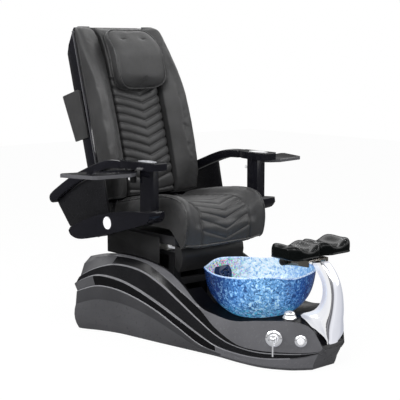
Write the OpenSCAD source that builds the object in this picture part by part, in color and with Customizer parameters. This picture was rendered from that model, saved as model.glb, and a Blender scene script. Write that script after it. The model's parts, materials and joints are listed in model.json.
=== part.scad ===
// Pedicure spa chair: a boat-shaped base with a glass foot bowl, a footrest
// on a curved column, and a massage seat that slides and reclines.
// The chair faces -Y, +Z is up, +X is the occupant's left. Millimetres.
// The origin is on the floor, under the middle of the chair's outer box.

/* [Base] */
// Wall of the moulded base shell
shell_wall = 6; // [4:1:9]
// Gap between the shell's lower edge and the floor
shell_lift = 4; // [2:1:8]
// Inboard step above each flowing rib
rib_step = 11; // [4:1:14]
// Width of the lip round the deck
lip_w = 14; // [8:1:18]
// Drop from the lip to the deck
lip_drop = 10; // [4:1:14]
// Half-width of the opening under the seat
well_half = 226; // [215:1:232]
// Rear end of the opening under the seat
well_back = 470; // [440:1:480]

/* [Chassis] */
// Square tube of the chassis and pedestal
tube = 40; // [30:1:46]
// Half the distance between the chassis rails
chassis_half = 120; // [110:1:130]
// Front end of the chassis
chassis_front = -600; // [-606:1:-590]
// Rear end of the chassis
chassis_back = 470; // [460:1:480]
// Half-length of the rear cross member
rear_beam_half = 320; // [280:1:328]
// Radius of a levelling foot
foot_r = 22; // [15:1:30]
// Height of a levelling foot's pad
foot_h = 14; // [10:1:20]
// Radius of a levelling foot's screw
foot_screw_r = 6; // [4:0.5:8]

/* [Bowl] */
// Radius of the bowl at the rim
bowl_r = 246; // [234:1:248]
// Radius of the bowl's flat foot
bowl_foot_r = 110; // [90:1:125]
// Height of the bowl's underside over the floor
bowl_z = 160; // [150:1:166]
// Height of the bowl
bowl_h = 208; // [198:1:212]
// Thickness of the glass
bowl_wall = 7; // [5:0.5:9]
// Place of the bowl's centre along Y
bowl_y = -322; // [-328:1:-318]
// Radius of the drain's tail pipe
drain_r = 20; // [16:1:24]
// Height of the drain pipe's run to the rear
drain_z = 86; // [80:1:92]
// Bend radius of the drain pipe
drain_bend = 40; // [32:1:46]

/* [Column and footrest] */
// Half-width of the column's front face at the foot
column_foot_half = 52; // [44:1:56]
// Half-width of the column's front face at the head
column_head_half = 19; // [14:1:24]
// Half-width of the column across its side creases
column_crease_half = 40; // [34:1:46]
// Wall of the column's chrome cover
column_wall = 4; // [3:0.5:5]
// Thickness of the column's steel core
core_t = 12; // [8:1:16]
// Half the distance between the footrest bracket's plates
bracket_half = 62; // [54:1:70]
// Thickness of a footrest bracket plate
bracket_t = 6; // [4:0.5:8]
// Radius of the footrest hinge pin
rest_pin_r = 8; // [6:0.5:9]
// Place of the footrest hinge along Y
rest_y = -530; // [-534:1:-526]
// Height of the footrest hinge
rest_z = 436; // [432:1:440]
// Half-width of the footrest pad
rest_half = 182; // [160:1:200]
// Height of the footrest pad's underside
rest_under = 472; // [466:1:480]
// Thickness of the footrest pad at its ridges
rest_t = 64; // [50:1:70]

/* [Controls] */
// Radius of the mixer's round plate
mixer_r = 35; // [30:1:40]
// Radius of the mixer's stem
mixer_stem_r = 17; // [13:1:20]
// Radius of the air button
button_r = 14; // [10:0.5:17]
// Travel of the air button
button_travel = 6; // [4:0.5:8]
// Radius of the hand shower's collar
sprayer_r = 30; // [26:1:34]
// Radius of the hand shower's grip
sprayer_grip_r = 15; // [12:0.5:18]

/* [Slide] */
// Radius of the slide rails
rail_r = 12.5; // [10:0.5:15]
// Height of the slide rails' axis
rail_z = 416; // [414:1:420]
// Longest travel of the seat from its rest place
slide_travel = 60; // [40:5:60]
// Length of a slide block
block_len = 50; // [40:1:60]

/* [Seat] */
// Half-width of the seat cushion
seat_half = 252; // [240:1:258]
// Half-width of the quilted middle panel
panel_half = 147; // [135:1:155]
// Front face of the seat cushion
seat_front = -110; // [-120:1:-100]
// Depth of the quilted channels
channel_depth = 7; // [3:0.5:9]
// Distance between the quilted channels
channel_pitch = 42; // [38:1:50]
// Height of the seat frame's underside
frame_z = 440; // [440:1:442]
// Square tube of the seat frame
seat_tube = 36; // [28:1:38]
// Half-width of the seat frame
seat_frame_half = 200; // [190:1:204]

/* [Backrest] */
// Recline of the backrest at rest, in degrees
back_tilt = 15.7; // [14:0.1:17]
// Length of the backrest
back_len = 844; // [820:1:870]
// Half-width of the backrest
back_half = 262; // [255:1:266]
// Depth of the rear shell behind the cushions
back_depth = 124; // [118:1:134]
// Wall of the rear shell
back_wall = 5; // [3:0.5:8]
// Thickness of the quilted back pad behind its seams
pad_t = 60; // [50:1:62]
// Half-width of the head pillow
pillow_half = 138; // [120:1:142]
// Thickness of the head pillow
pillow_t = 74; // [50:1:78]
// Radius of the recline hinge pins
hinge_r = 10; // [8:0.5:12]
// Place of the recline hinge along Y
hinge_y = 478; // [476:1:480]
// Height of the recline hinge
hinge_z = 566; // [564:1:568]
// Length of the recline lever under the hinge
lever_len = 110; // [106:1:112]
// Radius of the massage guide rods
guide_r = 8; // [6:0.5:9]
// Upward travel of the massage carriage
massage_travel = 420; // [300:10:430]

/* [Arms] */
// Outer face of the armrests
arm_out = 390; // [385:1:400]
// Inner face of the armrest pads
arm_in = 292; // [290:1:300]
// Inner face of the armrest rails
arm_rail_in = 336; // [332:1:345]
// Top of the armrest pads
arm_top = 831; // [826:1:836]
// Thickness of the armrest pads
arm_pad_t = 34; // [28:1:38]
// Place of the armrest hinge along Y
arm_hinge_y = 455; // [450:1:460]
// Height of the armrest hinge
arm_hinge_z = 512; // [508:1:516]
// Radius of the armrest hinge pin
arm_pin_r = 9; // [7:0.5:11]
// Radius of the round badge
badge_r = 29; // [22:1:32]

/* [Trays] */
// Length of a tray
tray_len = 336; // [300:2:350]
// Width of a tray
tray_w = 168; // [150:2:180]
// Thickness of a tray
tray_t = 16; // [10:1:18]
// Swing of the trays at rest, behind square, in degrees
tray_rest = 14; // [8:1:18]
// Radius of a tray's swivel pin
tray_pin_r = 7; // [5:0.5:8]

/* [Fits] */
// Radial clearance of a running fit
run_gap = 0.05; // [0.03:0.01:0.08]
// Gap between parts that only lie beside each other
lay_gap = 2; // [1:0.5:3]
// Gap between the bowl and the deck
bowl_gap = 8; // [5:1:12]

/* [Hidden] */
$fn = 48;
eps = 0.01;

vinyl = "#3d3d3f";
gloss_black = "#1d1d22";
shell_grey = "#47474c";
steel = "#6d7074";
chrome = "#d8dadd";

chassis_z = foot_h;
chassis_top = chassis_z + tube;
bowl_rim_z = bowl_z + bowl_h;
beam_top = rail_z - rail_r - 11.5;
beam_h = 18;
block_half = 22;
rail_front = 64;
rail_back = 479;
block_front_y = 150;
block_rear_y = 350;
pan_z = frame_z + seat_tube;
back_y0 = 431;
back_z0 = 640;
hinge_ly = (hinge_y - back_y0) * cos(back_tilt) - (hinge_z - back_z0) * sin(back_tilt);
hinge_lz = (hinge_y - back_y0) * sin(back_tilt) + (hinge_z - back_z0) * cos(back_tilt);
frame_ly = 76;
frame_half = 192;
lug_t = 10;
arm_pivot_x = arm_rail_in - 8;

// ---------- curves ----------

// Catmull-Rom point between p1 and p2
function span(p0, p1, p2, p3, t) =
    0.5 * (2 * p1 + (p2 - p0) * t + (2 * p0 - 5 * p1 + 4 * p2 - p3) * t * t
    + (3 * p1 - p0 - 3 * p2 + p3) * t * t * t);

// Point at share t of an open curve through the points
function along(pts, t) =
    let (n = len(pts) - 1, u = min(max(t, 0), 0.999999) * n, i = floor(u))
    span(pts[max(i - 1, 0)], pts[i], pts[i + 1], pts[min(i + 2, n)], u - i);

// The curve as a list, k steps to each point
function smooth(pts, k) =
    let (n = k * (len(pts) - 1)) [for (i = [0:n]) along(pts, i / n)];

// Unit vector to the left of the curve's direction at share t, in 2D
function left_of(pts, t) =
    let (d = along(pts, t + 0.004) - along(pts, t - 0.004)) [-d[1], d[0]] / norm(d);

function mix(a, b, t) = a + (b - a) * t;
function ease(t) = let (u = min(max(t, 0), 1)) u * u * (3 - 2 * u);
function centre(ring) = [for (k = [0:2]) [for (p = ring) p[k]] * [for (p = ring) 1] / len(ring)];
function back(list) = [for (i = [len(list) - 1:-1:0]) list[i]];

// Signed volume under triangles, to tell which way a skin faces
function volume(p, faces) =
    [for (f = faces) p[f[0]] * cross(p[f[1]], p[f[2]])] * [for (f = faces) 1];

// Closed solid through rings of equal point counts
module loft(rings) {
    m = len(rings);
    n = len(rings[0]);
    points = concat([for (r = rings) each r], [centre(rings[0]), centre(rings[m - 1])]);
    sides = [for (i = [0:m - 2], j = [0:n - 1])
        let (a = i * n + j, b = i * n + (j + 1) % n) each [[a, a + n, b], [b, a + n, b + n]]];
    first = [for (j = [0:n - 1]) [m * n, j, (j + 1) % n]];
    last = [for (j = [0:n - 1]) [m * n + 1, (m - 1) * n + (j + 1) % n, (m - 1) * n + j]];
    skin = concat(sides, first, last);
    polyhedron(points = points,
        faces = volume(points, skin) > 0 ? [for (f = skin) [f[0], f[2], f[1]]] : skin,
        convexity = 10);
}

// Prism along X from a (y, z) outline
module along_x(outline, x0, x1) {
    translate([x0, 0, 0])
        rotate([90, 0, 90])
            linear_extrude(x1 - x0)
                polygon(outline);
}

module both_sides() {
    children();
    mirror([1, 0, 0]) children();
}

module rod_x(r, x0, x1, y, z) {
    translate([x0, y, z])
        rotate([0, 90, 0])
            cylinder(r = r, h = x1 - x0);
}

module rod_y(r, y0, y1, x, z) {
    translate([x, y0, z])
        rotate([-90, 0, 0])
            cylinder(r = r, h = y1 - y0);
}

module box(x0, x1, y0, y1, z0, z1) {
    translate([x0, y0, z0]) cube([x1 - x0, y1 - y0, z1 - z0]);
}

// ---------- base shell ----------

// The base's crease lines, [half-width, y, z], from the rear to the bow
floor_line = [[352, 520, shell_lift], [405, 488, shell_lift], [358, 384, shell_lift],
    [322, 280, shell_lift], [303, 160, shell_lift], [284, 30, shell_lift],
    [263, -100, shell_lift], [245, -210, shell_lift], [232, -300, shell_lift],
    [224, -430, shell_lift], [202, -545, shell_lift], [150, -634, shell_lift],
    [110, -672, shell_lift], [68, -700, shell_lift]];
leaf_line = [[362, 538, 108], [412, 500, 120], [384, 386, 157], [352, 280, 160], [333, 170, 150],
    [312, 35, 118], [291, -100, 73], [270, -207, 34], [240, -300, 14], [227, -430, 14],
    [205, -547, 14], [153, -636, 14], [111, -675, 14], [68, -704, 14]];
rib_low = [[362, 536, 165], [409, 494, 182], [378, 386, 220], [350, 280, 219], [330, 165, 198],
    [310, 30, 157], [289, -100, 100], [265, -212, 46], [242, -302, 26], [229, -430, 26],
    [206, -547, 26], [154, -638, 26], [112, -678, 26], [69, -708, 28]];
rib_mid = [[366, 542, 204], [412, 508, 220], [382, 394, 269], [348, 280, 266], [327, 165, 240],
    [306, 30, 192], [286, -98, 138], [264, -212, 86], [246, -304, 51], [233, -430, 42],
    [209, -545, 44], [154, -636, 52], [112, -688, 60], [69, -734, 78]];
rib_high = [[350, 528, 240], [398, 490, 252], [374, 402, 300], [338, 290, 331], [312, 145, 323],
    [295, 24, 281], [277, -87, 217], [258, -192, 153], [240, -293, 98], [235, -400, 74],
    [222, -530, 70], [168, -626, 72], [112, -692, 76], [69, -742, 86]];
panel_low = [[322, 524, 304], [368, 488, 312], [332, 392, 352], [302, 285, 366], [282, 150, 358],
    [279, 35, 326], [262, -105, 252], [249, -205, 196], [250, -300, 136], [242, -427, 87],
    [225, -540, 82], [172, -628, 82], [113, -700, 84], [69, -746, 92]];
rim_line = [[292, 508, 336], [334, 480, 346], [306, 384, 369], [284, 285, 374], [264, 140, 364],
    [250, 20, 338], [247, -82, 288], [246, -197, 212], [250, -300, 194], [245, -415, 188],
    [227, -542, 210], [150, -658, 216], [98, -718, 190], [68, -757, 110]];
hull_lines = [floor_line, leaf_line, rib_low, rib_mid, rib_high, panel_low, rim_line];
stations = 32;

// Line k at share t, drawn in by d; the bow and stern ends move along Y
function hull_at(k, t, d) =
    let (p = along(hull_lines[k], t), n = d * (1 - 2 * t))
    [p[0] - d, p[1] - n, p[2]];

// Points of one side at share t: each rib is followed by its inboard step
function hull_side(t, d) =
    let (fade = mix(rib_step, 1, ease((t - 0.35) / 0.35)),
        low = hull_at(2, t, d), mid = hull_at(3, t, d), high = hull_at(4, t, d),
        step = [-1, 0, 0])
    [hull_at(0, t, d), hull_at(1, t, d), low, low + step * fade * 0.4 + [0, 0, 3],
        mid, mid + step * fade + [0, 0, 4], high, high + step * fade * 0.8 + [0, 0, 4],
        hull_at(5, t, d), hull_at(6, t, d)];

// The deck falls away between the cheeks of the bow
function deck_drop(t) = lip_drop + 32 * ease((t - 0.8) / 0.06) * ease((0.99 - t) / 0.06);

// Closed cross-section at share t, drawn in by d: the deck lies below the lip
function hull_ring(t, d) =
    let (side = hull_side(t, d), n = len(side) - 1, drop = [0, 0, deck_drop(t)],
        half = concat(d > 0 ? [side[0] - [0, 0, 20]] : [], [for (i = [0:n - 1]) side[i]],
            [side[n] - (d > 0 ? drop : [0, 0, 0]), side[n] - drop - [lip_w, 0, 0]]),
        low = [for (p = half) p - [0, 0, d]])
    concat([for (p = low) [-p[0], p[1], p[2]]], back(low));

module hull_solid(d) {
    e = d > 0 ? 0.015 : 0;
    loft([for (i = [0:stations]) hull_ring(min(max(i / stations, e), 1 - e), d)]);
}

mixer_at = [-192, -600, 141];
mixer_turn = 56;
button_at = [-124, -687, 136];
button_turn = 48;
sprayer_at = [-90, -590, 204];

// Puts local +Z on the outward normal of the near side panel
module on_panel(at, turn) {
    translate(at)
        rotate([90, 0, -turn])
            children();
}

function bowl_rad(t) =
    bowl_foot_r + (bowl_r - bowl_foot_r) * (0.8 * (1 - pow(1 - t, 3.3)) + 0.2 * t);

module bowl_outer(grow) {
    steps = 8;
    translate([0, bowl_y, bowl_z])
        rotate_extrude($fn = 64)
            polygon(concat([[0, -grow], [bowl_foot_r + grow, -grow]],
                [for (i = [1:steps]) [bowl_rad(i / steps) + grow, bowl_h * i / steps]],
                [[0, bowl_h]]));
}

module base_shell() {
    color(shell_grey)
        difference() {
            hull_solid(0);
            hull_solid(shell_wall);
            box(-well_half, well_half, -100, well_back, bowl_z, 420);
            box(-skirt_half - skirt_gap, skirt_half + skirt_gap, -100, well_back,
                skirt_low - 10, 420);
            box(-panel_half, panel_half, -190, -99, bowl_z, 420);
            bowl_outer(bowl_gap);
            on_panel(mixer_at, mixer_turn)
                translate([0, 0, -40]) cylinder(r = mixer_r - 6, h = 60);
            on_panel(button_at, button_turn)
                translate([0, 0, -30]) cylinder(r = button_r + 5, h = 50);
            translate([sprayer_at[0], sprayer_at[1], 150])
                cylinder(r = sprayer_grip_r + 6, h = 80);
            box(-core_t / 2 - 1, core_t / 2 + 1, -714, -632, 120, 260);
            column_solid(-0.2, 0, 1);
            rod_y(drain_r + 6, 470, 560, 0, drain_z);
            box(-148, -42, 480, 560, 42, 140);
        }
}

// ---------- chassis, feet and pedestal ----------

feet = [[-chassis_half, chassis_front + tube / 2], [chassis_half, chassis_front + tube / 2],
    [-rear_beam_half + tube, chassis_back - tube / 2], [rear_beam_half - tube, chassis_back - tube / 2]];
cradle_half = 78;
cradle_t = 8;

module chassis() {
    color(steel)
        difference() {
            union() {
                both_sides()
                    box(chassis_half - tube / 2, chassis_half + tube / 2,
                        chassis_front, chassis_back, chassis_z, chassis_top);
                box(-rear_beam_half, rear_beam_half, chassis_back - tube, chassis_back,
                    chassis_z, chassis_top);
                for (y = [chassis_front, bowl_y - cradle_half - 15, bowl_y + cradle_half - 15])
                    box(-chassis_half, chassis_half, y, y + 30, chassis_z, chassis_top);
                for (x = [-cradle_half, cradle_half], y = [-cradle_half, cradle_half])
                    box(x - 15, x + 15, bowl_y + y - 15, bowl_y + y + 15, chassis_z,
                        bowl_z - cradle_t);
                translate([0, bowl_y, bowl_z - cradle_t])
                    cylinder(r = bowl_foot_r + 10, h = cradle_t);
            }
            translate([0, bowl_y, bowl_z - cradle_t - 1])
                cylinder(r = bowl_foot_r - 50, h = cradle_t + 2);
            for (f = feet)
                translate([f[0], f[1], chassis_z - 1]) cylinder(r = foot_screw_r, h = 30);
        }
}

module levelling_feet() {
    color("#222222")
        for (f = feet)
            translate([f[0], f[1], 0]) {
                cylinder(r = foot_r, h = foot_h);
                translate([0, 0, foot_h - eps]) cylinder(r = foot_screw_r, h = 26);
            }
}

post_y = [100, 410];

module pedestal_frame() {
    color(steel)
        difference() {
            union() {
                both_sides() {
                    for (y = post_y)
                        box(chassis_half - tube / 2, chassis_half + tube / 2, y, y + tube,
                            chassis_top, beam_top - beam_h + eps);
                    box(chassis_half - tube / 2, chassis_half + tube / 2, rail_front, rail_back,
                        beam_top - beam_h, beam_top);
                    for (y = [rail_front, rail_back - 16])
                        box(chassis_half - tube / 2, chassis_half + tube / 2, y, y + 16,
                            beam_top - eps, rail_z + rail_r - 2);
                }
                for (y = post_y)
                    box(-chassis_half, chassis_half, y + 8, y + tube - 8, 230, 260);
                box(-30, 30, post_y[1] + 8, post_y[1] + tube - 8, 250, beam_top);
            }
            both_sides()
                rod_y(rail_r, rail_front - 1, rail_back + 1, chassis_half, rail_z);
            rod_y(act_r, post_y[1] - 1, post_y[1] + tube + 1, 0, act_z);
        }
}

module slide_rails() {
    color(chrome)
        both_sides()
            rod_y(rail_r, rail_front, rail_back, chassis_half, rail_z);
}

act_r = 20;
act_z = 350;
act_rod_r = 9;
act_front = 230;

// The slide drive's tube hangs in the rear post's cross plate
module slide_actuator() {
    color("#2a2a2c")
        difference() {
            union() {
                rod_y(act_r, act_front, post_y[1] + 40, 0, act_z);
                box(-32, 32, act_front + 20, act_front + 90, act_z - 75, act_z - 4);
            }
            rod_y(act_rod_r + run_gap, act_front - 1, post_y[1] + 30, 0, act_z);
        }
}

module slide_rod() {
    color(chrome)
        union() {
            rod_y(act_rod_r, 50, act_front + slide_travel + 30, 0, act_z);
            box(-10, 10, 30, 54, act_z - 14, frame_z);
        }
}

// ---------- bowl and plumbing ----------

module bowl() {
    steps = 18;
    color("#3f86c8", 0.55)
        translate([0, bowl_y, bowl_z])
            rotate_extrude($fn = 96)
                polygon(concat([[drain_r + run_gap, 0], [bowl_foot_r, 0]],
                    [for (i = [1:steps]) [bowl_rad(i / steps), bowl_h * i / steps]],
                    [for (i = [steps:-1:1])
                        [bowl_rad(i / steps) - bowl_wall, max(bowl_h * i / steps, bowl_wall)]],
                    [[bowl_foot_r - 10, bowl_wall], [drain_r + run_gap, bowl_wall]]));
}

module drain_fitting() {
    color(chrome)
        translate([0, bowl_y, 0])
            difference() {
                union() {
                    translate([0, 0, bowl_z + bowl_wall]) cylinder(r = drain_r + 10, h = 3);
                    translate([0, 0, drain_z + drain_bend + 20])
                        cylinder(r = drain_r, h = bowl_z + bowl_wall - drain_z - drain_bend - 20 + eps);
                }
                translate([0, 0, drain_z]) cylinder(r = drain_r - 3, h = bowl_z + bowl_wall - drain_z - 2);
                for (a = [0:60:300])
                    rotate(a) translate([drain_r / 2, 0, bowl_z]) cylinder(r = 3, h = 20);
            }
}

drain_end = 570;

module drain_run(r, more) {
    translate([0, bowl_y, drain_z + drain_bend])
        cylinder(r = r, h = 20 + more);
    translate([0, bowl_y + drain_bend, drain_z + drain_bend])
        rotate([0, 90, 0])
            rotate([0, 0, -90])
                rotate_extrude(angle = 90) translate([drain_bend, 0]) circle(r = r);
    rod_y(r, bowl_y + drain_bend, drain_end - 18 + more, 0, drain_z);
}

module drain_pipe() {
    color("#8b8d90")
        difference() {
            union() {
                drain_run(drain_r, 0);
                rod_y(drain_r - 2, drain_end - 19, drain_end, 0, drain_z);
            }
            drain_run(drain_r - 4, 1);
            rod_y(drain_r - 4, drain_end - 20, drain_end + 1, 0, drain_z);
        }
}

inlet_x = [-112, -78];
inlet_r = 10.5;
inlet_z = 95;

module water_inlets() {
    color("#b8a060")
        union() {
            box(-146, -44, 528, 532, 44, 138);
            box(-120, -70, chassis_back, 530, 44, chassis_top);
            for (x = inlet_x) {
                rod_y(inlet_r, 500, 570, x, inlet_z);
                rod_y(inlet_r + 5, 532 - eps, 546, x, inlet_z);
            }
        }
}

// The magnetic jet hangs on the bowl's inner wall, to the rear
jet_turn = 98;
jet_share = 0.72;
jet_reach = bowl_rad(jet_share) - bowl_wall - 5.4;
jet_z = bowl_z + jet_share * bowl_h;
jet_tilt = 13;

module at_jet() {
    translate([0, bowl_y, jet_z])
        rotate([0, 0, jet_turn])
            translate([jet_reach, 0, 0])
                rotate([0, jet_tilt - 90, 0])
                    children();
}

module jet_housing() {
    color("#12305e")
        at_jet()
            difference() {
                intersection() {
                    cylinder(r = 44, h = 30);
                    translate([-34, -44, -1]) cube([68, 88, 40]);
                }
                translate([0, 0, 8]) cylinder(r = 30, h = 19);
                cylinder(r = 4 + run_gap, h = 12);
                for (a = [0:45:315])
                    rotate(a) translate([17, 0, 20]) cylinder(r = 5, h = 20);
            }
}

module jet_impeller() {
    color("#c9d2da")
        at_jet()
            union() {
                translate([0, 0, 2]) cylinder(r = 4, h = 22);
                translate([0, 0, 10]) cylinder(r = 26, h = 3);
                for (a = [0:60:300])
                    rotate(a) translate([3, -1.5, 12]) cube([22, 3, 11]);
            }
}

// ---------- controls ----------

mixer_gap = 5;

module mixer_valve() {
    color("#b08d4a")
        on_panel(mixer_at, mixer_turn)
            difference() {
                union() {
                    translate([0, 0, -46]) cylinder(r = mixer_r - 9, h = 46 + mixer_gap - 1);
                    for (s = [-1, 1])
                        translate([s * 12, -70, -34]) rotate([-90, 0, 0]) cylinder(r = 8, h = 60);
                }
                translate([0, 0, -22]) cylinder(r = mixer_stem_r + run_gap, h = 60);
            }
}

module mixer_plate() {
    color(chrome)
        on_panel(mixer_at, mixer_turn)
            translate([0, 0, mixer_gap])
                difference() {
                    union() {
                        cylinder(r = mixer_r, h = 3);
                        translate([0, 0, 3 - eps]) cylinder(r1 = mixer_r, r2 = mixer_r - 6, h = 4);
                    }
                    translate([0, 0, -1]) cylinder(r = mixer_stem_r + run_gap, h = 20);
                }
}

mixer_pivot = 19;

module mixer_cartridge() {
    color(chrome)
        on_panel(mixer_at, mixer_turn)
            difference() {
                union() {
                    translate([0, 0, -20]) cylinder(r = mixer_stem_r, h = 35 + mixer_gap);
                    for (s = [-1, 1])
                        translate([s * 9 - 2.5, -9, 19]) cube([5, 18, 19]);
                }
                translate([-20, 0, mixer_pivot + mixer_gap + 6]) rotate([0, 90, 0])
                    cylinder(r = 3 + run_gap, h = 40);
            }
}

module mixer_lever() {
    color(chrome)
        on_panel(mixer_at, mixer_turn)
            union() {
                translate([-11.5, 0, mixer_pivot + mixer_gap + 6]) rotate([0, 90, 0])
                    cylinder(r = 3, h = 23);
                translate([-6, -7, mixer_pivot + mixer_gap + 1]) cube([12, 14, 11]);
                translate([0, -4, mixer_pivot + mixer_gap + 6]) rotate([90, 0, 0])
                    cylinder(r = 3, h = 66);
            }
}

button_face = 12;

module button_bezel() {
    color(chrome)
        on_panel(button_at, button_turn)
            difference() {
                union() {
                    translate([0, 0, 5]) cylinder(r = button_r + 11, h = 3);
                    translate([0, 0, 8 - eps]) cylinder(r1 = button_r + 10, r2 = button_r + 5, h = 4);
                    translate([0, 0, -22]) cylinder(r = button_r + 4, h = 28);
                }
                translate([0, 0, -16]) cylinder(r = button_r + run_gap, h = 40);
            }
}

module air_button() {
    color("#e4e6e8")
        on_panel(button_at, button_turn)
            union() {
                translate([0, 0, -16 + button_travel + 1])
                    cylinder(r = button_r, h = 18 + button_face - button_travel);
                translate([0, 0, button_face + 3 - eps])
                    cylinder(r1 = button_r, r2 = button_r - 5, h = 4);
            }
}

module sprayer_collar() {
    color(chrome)
        translate(sprayer_at)
            difference() {
                union() {
                    translate([0, 0, 5]) cylinder(r1 = sprayer_r, r2 = sprayer_r - 5, h = 9);
                    translate([0, 0, -40]) cylinder(r = sprayer_grip_r + 4, h = 46);
                }
                translate([0, 0, -41]) cylinder(r = sprayer_grip_r + run_gap, h = 80);
            }
}

module sprayer_head() {
    color(chrome)
        translate(sprayer_at)
            union() {
                translate([0, 0, -60]) cylinder(r = sprayer_grip_r, h = 76);
                translate([0, 0, 16 - eps]) cylinder(r = sprayer_r - 7, h = 5);
                translate([0, 0, 21 - eps])
                    rotate_extrude()
                        polygon(concat([[0, 0]],
                            [for (a = [0:15:90]) [(sprayer_r - 7) * cos(a), 13 * sin(a)]]));
            }
}

// ---------- footrest column ----------

// Side view of the column, (y, z): the front edge and the rear edge
column_front = [[-708, 452], [-741, 424], [-768, 380], [-780, 330], [-781, 285], [-778, 245],
    [-774, 215], [-770, 180], [-765, 145], [-752, 114]];
column_rear = [[-650, 440], [-682, 402], [-706, 364], [-712, 320], [-700, 278], [-668, 244],
    [-600, 212], [-662, 176], [-722, 150], [-744, 120]];

function column_half(t) =
    let (w = mix(column_head_half, column_foot_half, ease((t - 0.1) / 0.75)))
    t > 0.85 ? w * mix(1, 0.35, (t - 0.85) / 0.15) : w;

function column_ring(t, d) =
    let (f = along(column_front, t), r = along(column_rear, t),
        u = (r - f) / norm(r - f), f2 = f + u * d, r2 = r - u * d,
        wf = column_half(t) - d, wc = mix(wf + d, column_crease_half, 0.6) - d, wr = mix(28, wf, 0.5) * 0.9,
        m = mix(f2, r2, 0.3), q = mix(f2, r2, 0.62))
    [for (p = [[-wf * 0.4, f2], [-wf, mix(f2, r2, 0.05)], [-wc, m], [-wc * 0.8, q], [-wr, r2],
        [wr, r2], [wc * 0.8, q], [wc, m], [wf, mix(f2, r2, 0.05)], [wf * 0.4, f2]])
        [p[0], p[1][0], p[1][1]]];

module column_solid(d, t0, t1) {
    loft([for (i = [0:24]) column_ring(mix(t0, t1, i / 24), d)]);
}

module column_cover() {
    color(chrome)
        difference() {
            column_solid(0, 0, 1);
            column_solid(column_wall, 0.04, 0.8);
            box(-core_t / 2 - 0.5, core_t / 2 + 0.5, -712, -638, 140, 236);
            box(-core_t / 2 - 0.5, core_t / 2 + 0.5, -706, -630, 412, 470);
            box(-core_t / 2 - 8.5, core_t / 2 + 8.5, -664.5, -630, 424, 470);
        }
}

core_outline = [[-690, chassis_top], [-640, chassis_top], [-640, 150], [-655, 222], [-690, 258],
    [-722, 288], [-728, 320], [-722, 362], [-704, 402], [-686, 424], [-636, 430], [-636, 447],
    [-704, 444], [-728, 418], [-746, 380], [-756, 335], [-756, 285], [-744, 240], [-716, 200],
    [-690, 170]];

module column_core() {
    color(steel)
        union() {
            along_x(core_outline, -core_t / 2, core_t / 2);
            box(-60, 60, -690, chassis_front, chassis_z + 12, chassis_top);
        }
}

bracket_side = [[-664, 430], [-664, 458], [-600, 460], [rest_y, rest_z + 18],
    [rest_y + 14, rest_z + 12], [rest_y + 18, rest_z],
    [rest_y + 12, rest_z - 13], [rest_y, rest_z - 18], [rest_y - 14, rest_z - 14], [-600, 428]];

module footrest_bracket() {
    color("#cfc6b4")
        difference() {
            union() {
                both_sides()
                    along_x(bracket_side, bracket_half - bracket_t, bracket_half);
                box(-bracket_half + 1, bracket_half - 1, -664, -641, 450, 458);
                both_sides() box(core_t / 2, core_t / 2 + 8, -664, -641, 431, 451);
            }
            rod_x(rest_pin_r + run_gap, -bracket_half - 1, bracket_half + 1, rest_y, rest_z);
        }
}

module footrest_pin() {
    color(chrome)
        union() {
            rod_x(rest_pin_r, -bracket_half - 12, bracket_half + 8, rest_y, rest_z);
            rod_x(rest_pin_r + 5, bracket_half + lay_gap / 2, bracket_half + 9, rest_y, rest_z);
        }
}

module footrest_knob() {
    color("#1c1e1e")
        difference() {
            union() {
                rod_x(16, -bracket_half - 17, -bracket_half - 1, rest_y, rest_z);
                rod_x(8, -bracket_half - 20, -bracket_half - 16, rest_y, rest_z);
            }
            rod_x(rest_pin_r + run_gap, -bracket_half - 13, -bracket_half, rest_y, rest_z);
        }
}

// Height of the pad's top over its underside at x: two foot troughs, one dip
function rest_rise(x) =
    let (u = abs(x) / rest_half)
    rest_t * (0.9 + 0.1 * cos(u * 360)) - 13 * pow(sin(min(u * 200, 180)), 2)
    - 14 * pow(max(0, 1 - u * 5), 2) - 12 * pow(max(0, (u - 0.86) / 0.14), 2);

function rest_ring(x) =
    let (u = abs(x) / rest_half, h = rest_rise(x), dip = 26 * pow(max(0, 1 - u * 4), 1.5),
        front = -704 + dip + 30 * pow(max(0, (u - 0.75) / 0.25), 2),
        rear = -548 - dip * 0.5 - 22 * pow(max(0, (u - 0.8) / 0.2), 2),
        in = 8 * pow(max(0, (u - 0.9) / 0.1), 2))
    [for (p = [[front + 10, in], [front, 12 + in], [front, h * 0.7], [front + 14, h * 0.95],
        [front + 45, h - 3], [mix(front, rear, 0.5), h - 2], [rear - 35, h], [rear - 10, h * 0.93],
        [rear, h * 0.66], [rear, 10 + in], [rear - 8, in]])
        [x, p[0], rest_under + p[1]]];

rest_lug = [[rest_y - 4, rest_z - 14], [rest_y + 8, rest_z - 12], [rest_y + 14, rest_z],
    [rest_y + 8, rest_z + 14], [rest_y - 26, rest_under + 8], [rest_y - 100, rest_under + 8],
    [rest_y - 80, rest_under - 10]];

module footrest_pad() {
    color("#141716")
        difference() {
            union() {
                loft([for (i = [0:24]) rest_ring(mix(-rest_half, rest_half, i / 24))]);
                both_sides()
                    along_x(rest_lug, bracket_half - bracket_t - 20, bracket_half - bracket_t - lay_gap);
            }
            rod_x(rest_pin_r + run_gap, -bracket_half, bracket_half, rest_y, rest_z);
        }
}

// ---------- seat ----------

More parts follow.
